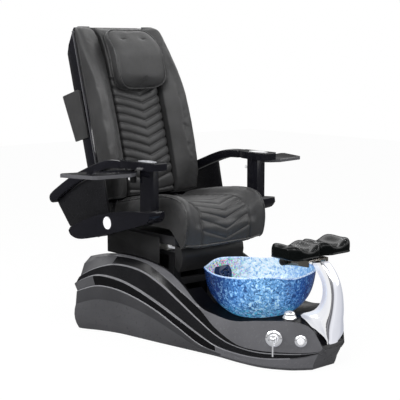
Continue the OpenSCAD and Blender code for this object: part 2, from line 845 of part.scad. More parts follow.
module seat_frame() {
    color("#2b2d30")
        difference() {
            union() {
                both_sides() {
                    box(seat_frame_half - seat_tube, seat_frame_half, 20, hinge_y + 30,
                        frame_z, pan_z);
                    box(seat_frame_half - 4, seat_frame_half + lug_t - 4, hinge_y - 26, hinge_y + 26,
                        frame_z, hinge_z + 20);
                    box(seat_frame_half - 4, arm_pivot_x - 2, arm_hinge_y - 15, arm_hinge_y + 15,
                        frame_z, frame_z + 26);
                    box(arm_pivot_x - 10, arm_pivot_x - 2, arm_hinge_y - 22, arm_hinge_y + 22,
                        frame_z, arm_hinge_z + 20);
                    rod_x(arm_pin_r, arm_pivot_x - 3, arm_out - 12, arm_hinge_y, arm_hinge_z);
                    for (y = [block_front_y, block_rear_y])
                        box(chassis_half - block_half, seat_frame_half - 5, y, y + block_len,
                            frame_z, frame_z + 20);
                }
                box(-seat_frame_half + 1, seat_frame_half - 1, 20, 60, pan_z - 14, pan_z);
                both_sides()
                    box(24, seat_frame_half - 1, 300, 340, pan_z - 14, pan_z);
                box(-seat_frame_half, seat_frame_half, 20, 420, pan_z - eps, pan_z + 6);
                box(-20, 20, 30, 56, frame_z, pan_z);
                for (x = [-36, 26])
                    box(x, x + 10, 110, 150, lever_z - 14, pan_z);
            }
            rod_x(6, -40, 40, 130, lever_z);
            both_sides()
                rod_x(hinge_r + run_gap, seat_frame_half - 10, seat_frame_half + 20,
                    hinge_y, hinge_z);
        }
}

module slide_blocks() {
    color("#d9d9d4")
        both_sides()
            for (y = [block_front_y, block_rear_y])
                difference() {
                    box(chassis_half - block_half, chassis_half + block_half, y, y + block_len,
                        beam_top + 3, frame_z);
                    rod_y(rail_r + run_gap, y - 1, y + block_len + 1, chassis_half, rail_z);
                }
}

act2_r = 14;
lever_y = hinge_y + lever_len * sin(16);
lever_z = hinge_z - lever_len * cos(16);

module recline_actuator() {
    color("#26272a")
        difference() {
            union() {
                rod_y(act2_r, 110, 400, 0, lever_z);
                rod_x(6, -37, 37, 130, lever_z);
            }
            rod_y(8 + run_gap, 140, 401, 0, lever_z);
        }
}

module recline_rod() {
    color(chrome)
        difference() {
            union() {
                rod_y(8, 240, lever_y - 24, 0, lever_z);
                box(-22, 22, lever_y - 26, lever_y - 18, lever_z - 14, lever_z + 14);
                both_sides() box(14, 22, lever_y - 20, lever_y + 14, lever_z - 14, lever_z + 14);
            }
            for (z = [-6:3:6])
                rod_x(6.5, -23, 23, lever_y, lever_z + z);
        }
}

// Seat cushion side views, (y, z): quilted middle and raised side bolster
seat_mid = [[seat_front + 42, 430], [seat_front + 10, 446], [seat_front - 2, 520],
    [seat_front + 6, 588], [seat_front + 40, 624], [10, 634], [140, 622], [280, 608], [422, 598]];
seat_side = [[seat_front + 42, 440], [seat_front + 12, 462], [seat_front - 4, 540],
    [seat_front + 2, 612], [seat_front + 44, 658], [30, 672], [150, 662], [290, 640], [422, 612]];
seat_under = [[422, 598], [430, 560], [420, 516], [240, 508], [60, 508], [2, 506], [-34, 476],
    [seat_front + 42, 430]];
quilt_rise = 0.38;

// Column places: side, bolster, seam and quilted panel
function seat_columns() =
    let (h = [0, panel_half / 2, panel_half - 5, panel_half, panel_half + 5, mix(panel_half, seat_half, 0.45),
        seat_half - 20, seat_half - 6, seat_half])
    concat([for (i = [len(h) - 1:-1:1]) -h[i]], h);

function side_inset(x, half, r) =
    let (u = max(0, abs(x) - (half - r)) / r) r * (1 - sqrt(max(0, 1 - u * u)));

// Share of the face where row s lies at x: rows rise outward as chevrons
function chevron(s, x, len, rise) =
    let (w = min(1, min(s, len - s) / 70), up = min(abs(x), panel_half) * rise)
    (s + up * w) / len;

seat_len = 714;

function seat_point(x, s, groove) =
    let (t = chevron(s, x, seat_len, quilt_rise),
        w = ease((abs(x) - panel_half) / (seat_half - 40 - panel_half)),
        p = mix(along(seat_mid, t), along(seat_side, t), w),
        n = mix(left_of(seat_mid, t), left_of(seat_side, t), w),
        seam = abs(abs(x) - panel_half) < 1,
        d = side_inset(x, seat_half, 22) + (seam ? 6 : abs(x) < panel_half && groove ? channel_depth : 0))
    [x, p[0] - n[0] * d, p[1] - n[1] * d];

function under_point(x, t) =
    let (p = along(seat_under, t), n = left_of(seat_under, t), d = side_inset(x, seat_half, 22) * 0.8,
        lift = 8 * ease((abs(x) - panel_half) / (seat_half - panel_half)) * sin(180 * t))
    [x, p[0] - n[0] * d, p[1] - n[1] * d + lift];

seat_rows = concat([[0, false], [18, false]],
    [for (i = [0:15], o = [-7, 0, 7]) [40 + i * channel_pitch + o, o == 0]],
    [[seat_len - 4, false]]);

module seat_cushion() {
    color(vinyl)
        loft([for (x = seat_columns())
            concat([for (r = seat_rows) if (r[0] < seat_len) seat_point(x, r[0], r[1])],
                [for (i = [1:9]) under_point(x, i / 10)])]);
}

apron_half = 190;
apron = [[24, frame_z - 2], [-4, 434], [-16, 414], [-20, 388], [-14, 356], [6, 320]];

module front_skirt() {
    color("#252527")
        difference() {
            union() {
                along_x(concat(apron, [[12, 320], [34, 340], [34, frame_z - 2]]),
                    -apron_half, apron_half);
                box(-apron_half + 1, apron_half - 1, 24, 56, frame_z - 6, frame_z);
            }
            box(-14, 14, 26, 60, frame_z - 20, frame_z + 1);
            along_x(concat([for (p = apron) p + (p[1] > 430 ? [1, -6] : [5, -1])],
                [[60, 300], [60, frame_z - 6]]), -apron_half + 5, apron_half - 5);
        }
}

skirt_half = seat_frame_half + 24;
skirt_gap = 2;
skirt_low = 350;
skirt_top = frame_z + 32;
skirt_plan = [[-skirt_half, 104], [-skirt_half, 500], [-skirt_half + 32, 532],
    [skirt_half - 32, 532], [skirt_half, 500], [skirt_half, 104]];

module rear_skirt() {
    color("#2b2b2d")
        difference() {
            translate([0, 0, skirt_low])
                linear_extrude(skirt_top - skirt_low)
                    polygon(concat(skirt_plan,
                        back([for (p = skirt_plan)
                            [p[0] - sign(p[0]) * 4, p[1] > 500 ? p[1] - 4 : p[1]]])));
            both_sides()
                box(skirt_half - 10, skirt_half + 10, arm_hinge_y - 17, arm_hinge_y + 17,
                    frame_z - 2, skirt_top + 1);
        }
}

// ---------- backrest, in its own tilted frame ----------

// Local +Z runs up the back, local +Y points to the rear
module on_back() {
    translate([0, back_y0, back_z0])
        rotate([-back_tilt, 0, 0])
            children();
}

module back_frame() {
    color("#2b2d30")
        on_back()
            difference() {
                union() {
                    both_sides() {
                        box(frame_half - 22, frame_half, frame_ly, frame_ly + 40, hinge_lz + 10,
                            back_len - 100);
                        box(frame_half - 8, frame_half, hinge_ly - 20, frame_ly + 40,
                            hinge_lz - 20, hinge_lz + 30);
                        rod_x(hinge_r, frame_half - 2, frame_half + 22, hinge_ly, hinge_lz);
                        translate([70, frame_ly + 14, 10]) cylinder(r = guide_r, h = back_len - 110);
                    }
                    for (z = [0, back_len - 120])
                        box(-frame_half + 1, frame_half - 1, frame_ly + 4, frame_ly + 24, z, z + 20);
                    box(-frame_half + 1, frame_half - 1, frame_ly + 37, frame_ly + 45, 380, 410);
                    box(-frame_half + 1, frame_half - 1, frame_ly + 4, frame_ly + 24, -34, -14);
                    both_sides() lever_plate();
                }
            }
}

// The lever under the hinge that the recline rod pulls
lever_ly = (lever_y - back_y0) * cos(back_tilt) - (lever_z - back_z0) * sin(back_tilt);
lever_lz = (lever_y - back_y0) * sin(back_tilt) + (lever_z - back_z0) * cos(back_tilt);

module lever_plate() {
    along_x([[frame_ly + 6, -16], [frame_ly + 24, -16], [lever_ly + 10, lever_lz + 2],
        [lever_ly + 6, lever_lz - 9], [lever_ly - 6, lever_lz - 9], [lever_ly - 10, lever_lz + 2]],
        0, 8);
    rod_x(6, 0, 21, lever_ly, lever_lz);
}

shell_side = [[68, -34], [150, -34], [190, 0], [66 + back_depth, 60], [66 + back_depth, 580],
    [62 + back_depth, 680], [40 + back_depth, 750], [120, 798], [68, back_len - 6]];

module shell_solid(d) {
    intersection() {
        translate([0, 0, -100])
            linear_extrude(back_len + 200)
                polygon([[-back_half + d, 60], [-back_half + d, 110], [-back_half + 10 + d, 150],
                    [-back_half + 34 + d, 66 + back_depth - d - 16], [-back_half + 60, 70 + back_depth - d],
                    [back_half - 60, 70 + back_depth - d], [back_half - 34 - d, 66 + back_depth - d - 16],
                    [back_half - 10 - d, 150], [back_half - d, 110], [back_half - d, 60]]);
        along_x([for (p = shell_side) [p[0] - (p[0] > 100 ? d : d * 2),
            p[1] + (p[1] < 0 ? d : p[1] > 600 ? -d : 0)]], -back_half - 1, back_half + 1);
    }
}

module back_shell() {
    color(gloss_black)
        on_back()
            difference() {
                shell_solid(0);
                shell_solid(back_wall);
                box(-frame_half - 20, frame_half + 20, 60, 136, -60, 20);
            }
}

module back_trim() {
    color("#9b9ca2")
        on_back()
            difference() {
                box(-back_half - 2, back_half + 2, 63, 67, 20, back_len - 30);
                box(-back_half + 6, back_half - 6, 60, 70, -1, back_len - 38);
            }
}

// Front edge of the side bolsters over the seams, (ly, lz)
wing = [[-48, -12], [-88, 60], [-106, 160], [-112, 320], [-102, 470], [-74, 590], [-18, 730],
    [20, 806], [44, 834], [55, back_len]];

function seam_at(z) = lookup(z, [for (p = pad_front) [p[1], p[0]]]) + 4;

function bolster_ring(t) =
    let (p = along(wing, t), f = p[0], g = 61, m = seam_at(p[1]))
    [for (q = [[panel_half + 1, g], [panel_half + 1, m + 4], [panel_half + 8, mix(m, f, 0.03)],
        [mix(panel_half, back_half, 0.5), mix(m, f, 0.55)],
        [back_half - 26, f + 2], [back_half - 14, f], [back_half - 5, f + 8],
        [back_half - 1, min(f + 24, g - 1)],
        [back_half, mix(min(f + 24, g - 1), g, 0.6)], [back_half - 1, g]])
        [q[0], min(q[1], g), p[1]]];

module bolster() {
    loft([for (i = [0:16]) back(bolster_ring(i / 16))]);
}

module bolster_left() {
    color(vinyl)
        on_back() bolster();
}

module bolster_right() {
    color(vinyl)
        on_back() mirror([1, 0, 0]) bolster();
}

pad_front = [[8, -10], [-6, 14], [-13, 120], [-16, 300], [-15, 480], [-9, 650], [8, 775],
    [32, 824], [52, back_len]];
pad_rear = [[52, back_len], [pad_t, 826], [pad_t, 500], [pad_t, 120], [pad_t - 2, 2], [40, -10], [8, -10]];
pad_len = 866;
back_rise = 0.43;
pad_rows = concat([[0, false], [14, false]],
    [for (i = [0:11], o = [-7, 0, 7]) [34 + i * channel_pitch + o, o == 0]],
    [[560, false], [640, false], [720, false], [790, false], [840, false], [pad_len - 2, false]]);
pad_half = panel_half - lay_gap;

function pad_point(x, s, groove) =
    let (t = chevron(s, x, pad_len, back_rise), p = along(pad_front, t), n = left_of(pad_front, t),
        d = side_inset(x, pad_half, 10) + (groove ? channel_depth : 0))
    [x, p[0] + n[0] * -d, p[1] - n[1] * d];

module back_pad() {
    columns = concat([for (u = [-1, -0.985, -0.93, -0.5]) u * pad_half], [0],
        [for (u = [0.5, 0.93, 0.985, 1]) u * pad_half]);
    color(vinyl)
        on_back()
            loft([for (x = columns)
                concat([for (r = pad_rows) pad_point(x, r[0], r[1])],
                    [for (i = [1:7]) let (p = along(pad_rear, i / 8)) [x, p[0], p[1]]])]);
}

pillow_low = 488;
pillow_high = 806;

function power(v, e) = sign(v) * pow(abs(v), e);

function pillow_ring(t) =
    let (v = 2 * t - 1, z = mix(pillow_low, pillow_high, t),
        w = pillow_half * pow(1 - pow(abs(v), 5), 0.2),
        rear = -20 + 24 * ease((t - 0.6) / 0.4),
        th = pillow_t * (1 - 0.5 * ease((t - 0.45) / 0.55)) * pow(1 - pow(abs(v), 7), 0.5))
    [for (a = [0:18:342]) [w * power(cos(a), 0.35), rear - th / 2 + th / 2 * power(sin(a), 0.6), z]];

module head_pillow() {
    color(vinyl)
        on_back()
            loft([for (i = [0:14]) pillow_ring(0.01 + 0.98 * (1 - cos(180 * i / 14)) / 2)]);
}

// The pocket hangs on the right side of the rear shell, flared at its mouth
module side_pocket() {
    color("#333335")
        on_back()
            translate([-back_half - lay_gap, 0, 0])
                difference() {
                    pocket_solid(0);
                    pocket_solid(3);
                }
}

module pocket_solid(d) {
    hull() {
        translate([-8 + d * 0.4, 76 + d, 292 + d]) cube([8 - d * 0.8, 104 - 2 * d, 4]);
        translate([-15 + d * 0.6, 76 + d, 520 + d * 2]) cube([15 - d, 138 - 2 * d, 4]);
    }
}

module massage_carriage() {
    color("#5a5d60")
        on_back()
            difference() {
                box(-90, 90, frame_ly, frame_ly + 28, 200, 300);
                box(-52, 52, frame_ly - 1, frame_ly + 29, 214, 286);
                both_sides() translate([70, frame_ly + 14, 199]) cylinder(r = guide_r + run_gap, h = 102);
                rod_x(5 + run_gap, -66, 66, frame_ly + 12, 250);
            }
}

module massage_rollers() {
    color("#c8c4b8")
        on_back()
            union() {
                rod_x(5, -58, 58, frame_ly + 12, 250);
                for (x = [-32, 32]) {
                    rod_x(22, x - 9, x + 9, frame_ly + 12, 250);
                }
            }
}

// ---------- arms ----------

// Centre line of the bent rail, (y, z), and its half thickness
rail_line = [[175, arm_top - 20], [260, arm_top - 24], [340, arm_top - 44], [440, arm_top - 80],
    [530, arm_top - 116], [620, arm_top - 162], [700, arm_top - 208], [728, arm_top - 228]];
rail_half = 24;

// A point of the rail's edge, on its left (way 1) or right (way -1)
function rail_edge(t, way) =
    along(rail_line, t) + left_of(rail_line, t) * way * rail_half * (0.8 + 0.2 * t);

function rail_outline() =
    let (n = 21, line = [for (i = [0:n]) i / n], tip = along(rail_line, 1),
        side = left_of(rail_line, 0.99))
    concat([for (t = line) rail_edge(t, 1)],
        [for (a = [60:-30:-60])
            tip + rail_half * (cos(a) * [side[1], -side[0]] + sin(a) * side)],
        back([for (t = line) rail_edge(t, -1)]));

lower_top = [[-26, 616], [40, 612], [140, 604], [246, 586], [372, 556], [480, 518], [572, 480]];
lower_low = [[588, 462], [570, 440], [506, 430], [397, 450], [284, 480], [141, 520], [50, 548],
    [-6, 566], [-30, 592]];
lower_outline = concat(smooth(lower_top, 3), smooth(lower_low, 3));

module arm_rail() {
    along_x(rail_outline(), arm_rail_in, arm_out);
}

module arm_pad() {
    difference() {
        translate([0, 0, arm_top - arm_pad_t])
            linear_extrude(arm_pad_t)
                polygon([[arm_in + 10, -46], [arm_in, -36], [arm_in, 60], [arm_in + 14, 120],
                    [arm_rail_in, 174], [arm_out, 174], [arm_out, -30], [arm_out - 16, -46]]);
        translate([mix(arm_in, arm_out, 0.5), 40, arm_top - 2])
            linear_extrude(5)
                scale([1, 2.1]) circle(r = 30);
        translate([tray_x, tray_y, arm_top - arm_pad_t - 1])
            cylinder(r = tray_pin_r + run_gap, h = 19);
    }
    translate([mix(arm_in, arm_out, 0.5), 40, arm_top - 2])
        linear_extrude(3)
            scale([1, 2.1]) circle(r = 28);
}

module arm_post() {
    difference() {
        union() {
            box(arm_in + 12, arm_in + 62, 8, 78, 600, arm_top - arm_pad_t);
            along_x(lower_outline, arm_rail_in + 2, arm_out);
            intersection() {
                along_x(lower_outline, arm_in + 8, arm_out);
                box(arm_in, arm_out, -60, 96, 500, 640);
            }
        }
        rod_x(arm_pin_r + run_gap, arm_rail_in - 10, arm_out - 10, arm_hinge_y, arm_hinge_z);
        rod_x(badge_r + 1, arm_out - 3, arm_out + 5, 276, 535);
    }
}

module arm_panel() {
    under = [for (i = [6:20]) along(rail_line, i / 20) - left_of(rail_line, i / 20) * (rail_half + 1)];
    foot = [for (p = smooth(lower_top, 2)) if (p[0] > 320) p + [1, 2]];
    along_x(concat(under, [[700, 566], [612, 474]], back(foot)), arm_rail_in + 16, arm_rail_in + 28);
}

module arm_badge() {
    rod_x(badge_r, arm_out - 3, arm_out + 1, 276, 535);
}

module arm_left_rail() { color(gloss_black) arm_rail(); }
module arm_left_pad() { color(gloss_black) arm_pad(); }
module arm_left_post() { color(gloss_black) arm_post(); }
module arm_left_panel() { color("#222227") arm_panel(); }
module arm_left_badge() { color("#eeeeee") arm_badge(); }
module arm_right_rail() { color(gloss_black) mirror([1, 0, 0]) arm_rail(); }
module arm_right_pad() { color(gloss_black) mirror([1, 0, 0]) arm_pad(); }
module arm_right_post() { color(gloss_black) mirror([1, 0, 0]) arm_post(); }
module arm_right_panel() { color("#222227") mirror([1, 0, 0]) arm_panel(); }
module arm_right_badge() { color("#eeeeee") mirror([1, 0, 0]) arm_badge(); }

// ---------- trays ----------

tray_x = arm_out - 22;
tray_y = 108;
tray_top = arm_top - arm_pad_t - 6;

module at_tray() {
    translate([tray_x, tray_y, 0])
        rotate([0, 0, tray_rest])
            children();
}

module tray_plate() {
    at_tray()
        translate([0, 0, tray_top - tray_t])
            linear_extrude(tray_t)
                difference() {
                    polygon([[-14, -14], [24, 28 - tray_w * 0.7], [62, 46 - tray_w],
                        [tray_len - 112, 28 - tray_w], [tray_len - 92, 38 - tray_w],
                        [tray_len, 12], [tray_len - 14, 28], [60, 24], [0, 17], [-14, 8]]);
                    circle(r = tray_pin_r);
                }
}

module tray_bracket() {
    at_tray()
        union() {
            translate([0, 0, tray_top - tray_t - 1])
                cylinder(r = tray_pin_r, h = tray_t + 23);
            translate([0, 0, tray_top - tray_t - 40]) cylinder(r = 15, h = 40);
            translate([4, -10, tray_top - tray_t - 9]) cube([180, 20, 9]);
        }
}

module tray_knob() {
    at_tray()
        translate([0, 0, tray_top - tray_t - 26])
            rotate([-90, 0, 0]) {
                translate([0, 0, 15 + lay_gap / 2]) cylinder(r = 4, h = 14);
                translate([0, 0, 34]) sphere(r = 8);
            }
}

module tray_left_plate() { color("#2a2a2e") tray_plate(); }
module tray_left_bracket() { color("#1c1c1f") tray_bracket(); }
module tray_left_knob() { color("#f0f0ee") tray_knob(); }
module tray_right_plate() { color("#2a2a2e") mirror([1, 0, 0]) tray_plate(); }
module tray_right_bracket() { color("#1c1c1f") mirror([1, 0, 0]) tray_bracket(); }
module tray_right_knob() { color("#f0f0ee") mirror([1, 0, 0]) tray_knob(); }

base_shell();
chassis();
levelling_feet();
bowl();
drain_fitting();
drain_pipe();
water_inlets();
jet_housing();
jet_impeller();
mixer_valve();
mixer_plate();
mixer_cartridge();
mixer_lever();
button_bezel();
air_button();
sprayer_collar();
sprayer_head();
column_core();
column_cover();
footrest_bracket();
footrest_pin();
footrest_knob();
footrest_pad();
pedestal_frame();
slide_rails();
slide_actuator();
slide_rod();
seat_frame();
slide_blocks();
seat_cushion();
front_skirt();
rear_skirt();
recline_actuator();
recline_rod();
back_frame();
back_shell();
back_trim();
bolster_right();
bolster_left();
back_pad();
head_pillow();
side_pocket();
massage_carriage();
massage_rollers();
arm_right_rail();
arm_right_pad();
arm_right_post();
arm_right_panel();
arm_right_badge();
arm_left_rail();
arm_left_pad();
arm_left_post();
arm_left_panel();
arm_left_badge();
tray_right_plate();
tray_right_bracket();
tray_right_knob();
tray_left_plate();
tray_left_bracket();
tray_left_knob();
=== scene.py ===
import json
import math

import bmesh
import bpy
import numpy as np
from mathutils import Matrix, Vector

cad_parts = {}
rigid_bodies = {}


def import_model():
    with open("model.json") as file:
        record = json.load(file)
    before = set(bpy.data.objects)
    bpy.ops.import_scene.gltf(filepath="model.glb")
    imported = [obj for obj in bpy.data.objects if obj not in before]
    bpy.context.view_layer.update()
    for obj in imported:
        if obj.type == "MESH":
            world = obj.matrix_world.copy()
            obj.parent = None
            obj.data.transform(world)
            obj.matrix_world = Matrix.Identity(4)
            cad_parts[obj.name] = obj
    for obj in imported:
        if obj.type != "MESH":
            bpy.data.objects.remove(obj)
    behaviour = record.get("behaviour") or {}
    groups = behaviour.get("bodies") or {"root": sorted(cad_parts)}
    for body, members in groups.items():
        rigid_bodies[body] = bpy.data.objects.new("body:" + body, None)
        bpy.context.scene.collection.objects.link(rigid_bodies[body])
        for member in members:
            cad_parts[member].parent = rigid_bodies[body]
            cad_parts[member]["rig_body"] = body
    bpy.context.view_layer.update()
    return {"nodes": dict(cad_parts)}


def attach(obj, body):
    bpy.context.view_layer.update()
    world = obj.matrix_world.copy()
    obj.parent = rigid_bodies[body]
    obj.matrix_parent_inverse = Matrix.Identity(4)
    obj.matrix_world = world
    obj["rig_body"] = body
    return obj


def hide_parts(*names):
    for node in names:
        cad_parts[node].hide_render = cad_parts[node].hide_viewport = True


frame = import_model()
nodes = frame["nodes"]

# %% [markdown]
# ## Camera and studio
# A long lens from the front left corner, a little under the top of the
# backrest. The background is a white sweep. It is white only to the rays
# that come from the camera or through glass. Glossy skins reflect a dim
# floor and one bright band overhead instead, as under a studio's softbox,
# so their blacks stay deep and their edges catch the light.
# %% Camera, world, floor and lamps
VIEW_FROM, VIEW_ALONG = (-3.2041, -3.5435, 1.3227), (0.6559, 0.7412, -0.1428)
VIEW_RIGHT = (0.75, -0.66, 0)
scene = bpy.context.scene
scene.view_settings.view_transform = "Standard"


def show(name, data):
    obj = bpy.data.objects.new(name, data)
    scene.collection.objects.link(obj)
    return obj


def aim(thing, direction):
    """Turns a camera or lamp so that it looks along the direction."""
    thing.rotation_mode = "QUATERNION"
    thing.rotation_quaternion = Vector(direction).to_track_quat("-Z", "Y")


camera = show("Camera", bpy.data.cameras.new("Camera"))
camera.data.sensor_width = 36
camera.data.lens = 94.52
camera.location = VIEW_FROM
aim(camera, VIEW_ALONG)
scene.camera = camera


def wire(tree, *links):
    for start, end in links:
        tree.links.new(start, end)


def math_node(tree, operation, *values):
    """One sum in a shader tree; each value is a socket or a number."""
    node = tree.nodes.new("ShaderNodeMath")
    node.operation = operation
    for socket, value in zip(node.inputs, values):
        if isinstance(value, (int, float)):
            socket.default_value = value
        else:
            tree.links.new(value, socket)
    return node.outputs[0]


def ramp(tree, value, *stops):
    """A colour ramp over the value; stops are (place, colour)."""
    node = tree.nodes.new("ShaderNodeValToRGB")
    line = node.color_ramp.elements
    for i, (at, colour) in enumerate(stops):
        stop = line[i] if i < 2 else line.new(at)
        stop.position = at
        stop.color = (*colour, 1)
    tree.links.new(value, node.inputs["Fac"])
    return node.outputs["Color"]


def ray_kinds(tree):
    """1 for camera and glass rays, and 1 for mirror rays, as two sockets."""
    path = tree.nodes.new("ShaderNodeLightPath").outputs
    seen = math_node(tree, "MAXIMUM", path["Is Camera Ray"], path["Is Transmission Ray"])
    return seen, path["Is Glossy Ray"]


world = bpy.data.worlds.new("studio")
scene.world = world
world.use_nodes = True
tree = world.node_tree
backdrop = tree.nodes["Background"]
backdrop.inputs["Color"].default_value = (1, 1, 1, 1)
seen, mirrored = ray_kinds(tree)
parts = tree.nodes.new("ShaderNodeSeparateXYZ")
tree.links.new(tree.nodes.new("ShaderNodeTexCoord").outputs["Generated"], parts.inputs[0])
greys = ((0, 0.03), (0.12, 0.03), (0.46, 0.13), (0.54, 1), (0.66, 1), (0.74, 0.2), (1, 0.2))
ceiling = ramp(tree, parts.outputs["Z"], *[(at, (grey, grey, grey)) for at, grey in greys])
soft = math_node(tree, "MULTIPLY_ADD", seen, 0.62, 0.38)
dark = math_node(tree, "MULTIPLY", math_node(tree, "SUBTRACT", 1, mirrored), soft)
bright = math_node(tree, "MULTIPLY", math_node(tree, "MULTIPLY", ceiling, 3.2), mirrored)
tree.links.new(math_node(tree, "ADD", dark, bright), backdrop.inputs["Strength"])

floor_finish = bpy.data.materials.new("studio_floor")
floor_finish.use_nodes = True
tree = floor_finish.node_tree
tree.nodes.remove(tree.nodes["Principled BSDF"])
matt = tree.nodes.new("ShaderNodeBsdfDiffuse")
matt.inputs["Color"].default_value = (0.9, 0.9, 0.9, 1)
glow = tree.nodes.new("ShaderNodeEmission")
seen, mirrored = ray_kinds(tree)
blend = tree.nodes.new("ShaderNodeMixShader")
dim = math_node(tree, "SUBTRACT", 1.05, math_node(tree, "MULTIPLY", mirrored, 0.95))
white = math_node(tree, "MAXIMUM", math_node(tree, "MULTIPLY", seen, 0.9), mirrored)
wire(tree, (dim, glow.inputs["Strength"]), (white, blend.inputs["Fac"]), (matt.outputs[0], blend.inputs[1]),
     (glow.outputs[0], blend.inputs[2]), (blend.outputs[0], tree.nodes["Material Output"].inputs["Surface"]))

plane = bpy.data.meshes.new("floor")
plane.from_pydata([(-9, -9, 0), (9, -9, 0), (9, 9, 0), (-9, 9, 0)], [], [(0, 1, 2, 3)])
plane.materials.append(floor_finish)
show("floor", plane)

for name, place, size, watts in (
    ("key", (-2.6, -2.2, 3.2), 1.8, 56),
    ("fill", (2.8, -2.4, 2.0), 2.2, 28),
    ("top", (0.2, 0.9, 3.6), 1.8, 6),
    ("side", (-3.4, 0.9, 1.9), 1.0, 34),
):
    lamp = show(name, bpy.data.lights.new(name, "AREA"))
    lamp.data.size = size
    lamp.data.energy = watts
    lamp.location = place
    aim(lamp, Vector((0, 0, 0.6)) - Vector(place))
print("camera and 4 lamps")

# %% [markdown]
# ## Finishes
# Each finish is a Principled shader with nodes for its grain, gloss and
# colour variation. Patterns are laid out in Object coordinates, which are
# metres here because every piece sits at the origin.
# %% A short way to write shader nodes


class Finish:
    """One material, with short ways to add nodes to it."""

    def __init__(self, name, colour, rough, **sockets):
        self.mat = bpy.data.materials.new(name)
        self.mat.use_nodes = True
        self.tree = self.mat.node_tree
        self.skin = self.tree.nodes["Principled BSDF"]
        self.put(self.skin, Base_Color=(*colour, 1), Roughness=rough, **sockets)
        self.place = self.tree.nodes.new("ShaderNodeTexCoord").outputs["Object"]

    def put(self, node, **sockets):
        for key, value in sockets.items():
            node.inputs[key.replace("_", " ")].default_value = value

    def add(self, kind, vector=True, **sockets):
        node = self.tree.nodes.new("ShaderNode" + kind)
        if vector and "Vector" in node.inputs:
            self.link(self.place, node.inputs["Vector"])
        self.put(node, **sockets)
        return node

    def link(self, start, end):
        """Links a socket to another, or to the skin's socket of that name."""
        self.tree.links.new(start, self.skin.inputs[end] if isinstance(end, str) else end)

    def noise(self, scale, detail, **sockets):
        return self.add("TexNoise", Scale=scale, Detail=detail, **sockets).outputs["Fac"]

    def cells(self, scale):
        return self.add("TexVoronoi", Scale=scale).outputs

    def height_of(self, vector):
        """The Z part of a direction or place."""
        parts = self.add("SeparateXYZ", vector=False)
        self.link(vector, parts.inputs["Vector"])
        return parts.outputs["Z"]

    def spread(self, value, low, high, start=0.0, end=1.0):
        """Maps a value from start..end to low..high."""
        node = self.add("MapRange", vector=False, From_Min=start, From_Max=end, To_Min=low, To_Max=high)
        self.link(value, node.inputs["Value"])
        return node.outputs["Result"]

    def clouds(self, colour, scale, detail, dim, lit):
        """The colour in soft clouds, from dim to lit times itself."""
        stops = [(at, tuple(c * share for c in colour)) for at, share in ((0.3, dim), (0.7, lit))]
        return ramp(self.tree, self.noise(scale, detail), *stops)

    def mixed(self, share, first, second):
        """Two colours mixed by a share; each is a socket or a colour."""
        node = self.tree.nodes.new("ShaderNodeMix")
        node.data_type = "RGBA"
        for socket, value in ((0, share), (6, first), (7, second)):
            if isinstance(value, tuple):
                node.inputs[socket].default_value = (*value, 1)
            else:
                self.link(value, node.inputs[socket])
        return node.outputs[2]

    def relief(self, *heights):
        """Bump from (height socket, depth in metres) pairs, laid over each other."""
        under = None
        for height, depth in heights:
            bump = self.tree.nodes.new("ShaderNodeBump")
            self.put(bump, Strength=1.0, Distance=depth)
            self.link(height, bump.inputs["Height"])
            if under is not None:
                self.link(under, bump.inputs["Normal"])
            under = bump.outputs["Normal"]
        self.link(under, "Normal")


# %% [markdown]
# The upholstery is a satin vinyl: fine pebble grain under a low sheen. Two
# scales of grain keep it from looking like plastic.
# %% Upholstery vinyl


def upholstery(name, colour, rough):
    skin = Finish(name, colour, rough, Specular_IOR_Level=0.42, Sheen_Weight=0.08, Sheen_Roughness=0.4)
    skin.link(skin.clouds(colour, 9.0, 3.0, 0.8, 1.35), "Base Color")
    skin.link(skin.spread(skin.noise(45.0, 4.0), rough - 0.07, rough + 0.09), "Roughness")
    skin.relief((skin.noise(11.0, 2.0), 0.0016), (skin.noise(160.0, 5.0, Roughness=0.62), 0.00035),
                (skin.cells(620.0)["Distance"], 0.00022))
    return skin.mat


vinyl = upholstery("charcoal_vinyl", (0.047, 0.047, 0.048), 0.43)
# Painted highlight: the piping is a little lighter than the vinyl, for the light line along its cord; its
# lower roughness is its own.
piping_highlit_vinyl = upholstery("piping_vinyl_painted_highlight", (0.055, 0.055, 0.056), 0.27)
thread = upholstery("grey_thread", (0.06, 0.06, 0.062), 0.6)
skirt_vinyl = upholstery("skirt_vinyl", (0.022, 0.022, 0.023), 0.40)
print("upholstery made")

# %% [markdown]
# Glossy mouldings show a little orange peel and fine dust marks. The base
# takes seven finishes: two greys, a black deck, a darker grey of painted
# shade, pale lines of painted highlight on the ledges, near-black strips of
# painted dark reflection, and one with painted glints.
# %% Mouldings, lacquer and plain plastics


def moulding(name, colour, rough, specular=0.4, painted_glint=0.0, coat=0.0):
    skin = Finish(name, colour, rough, Specular_IOR_Level=specular, Coat_Weight=coat, Coat_Roughness=0.06)
    shade = skin.clouds(colour, 5.0, 4.0, 0.86, 1.14)
    # Painted glints: pale specks of grainy reflection laid over the colour.
    if painted_glint:
        glint_spots = skin.spread(skin.cells(900.0)["Distance"], painted_glint, 0.0, 0.0, 0.28)
        shade = skin.mixed(glint_spots, shade, (0.3, 0.3, 0.31))
    skin.link(shade, "Base Color")
    wear = skin.noise(60.0, 6.0, Roughness=0.7)
    skin.link(skin.spread(wear, max(0.02, rough - 0.05), rough + 0.06), "Roughness")
    skin.relief((skin.noise(120.0, 1.0), 0.00006))
    return skin.mat


def shine(mat, strength, colour=None):
    """A little light of its own, in the given colour or in its base colour."""
    skin = mat.node_tree.nodes["Principled BSDF"].inputs
    if colour:
        skin["Emission Color"].default_value = (*colour, 1)
    else:
        mat.node_tree.links.new(skin["Base Color"].links[0].from_socket, skin["Emission Color"])
    skin["Emission Strength"].default_value = strength


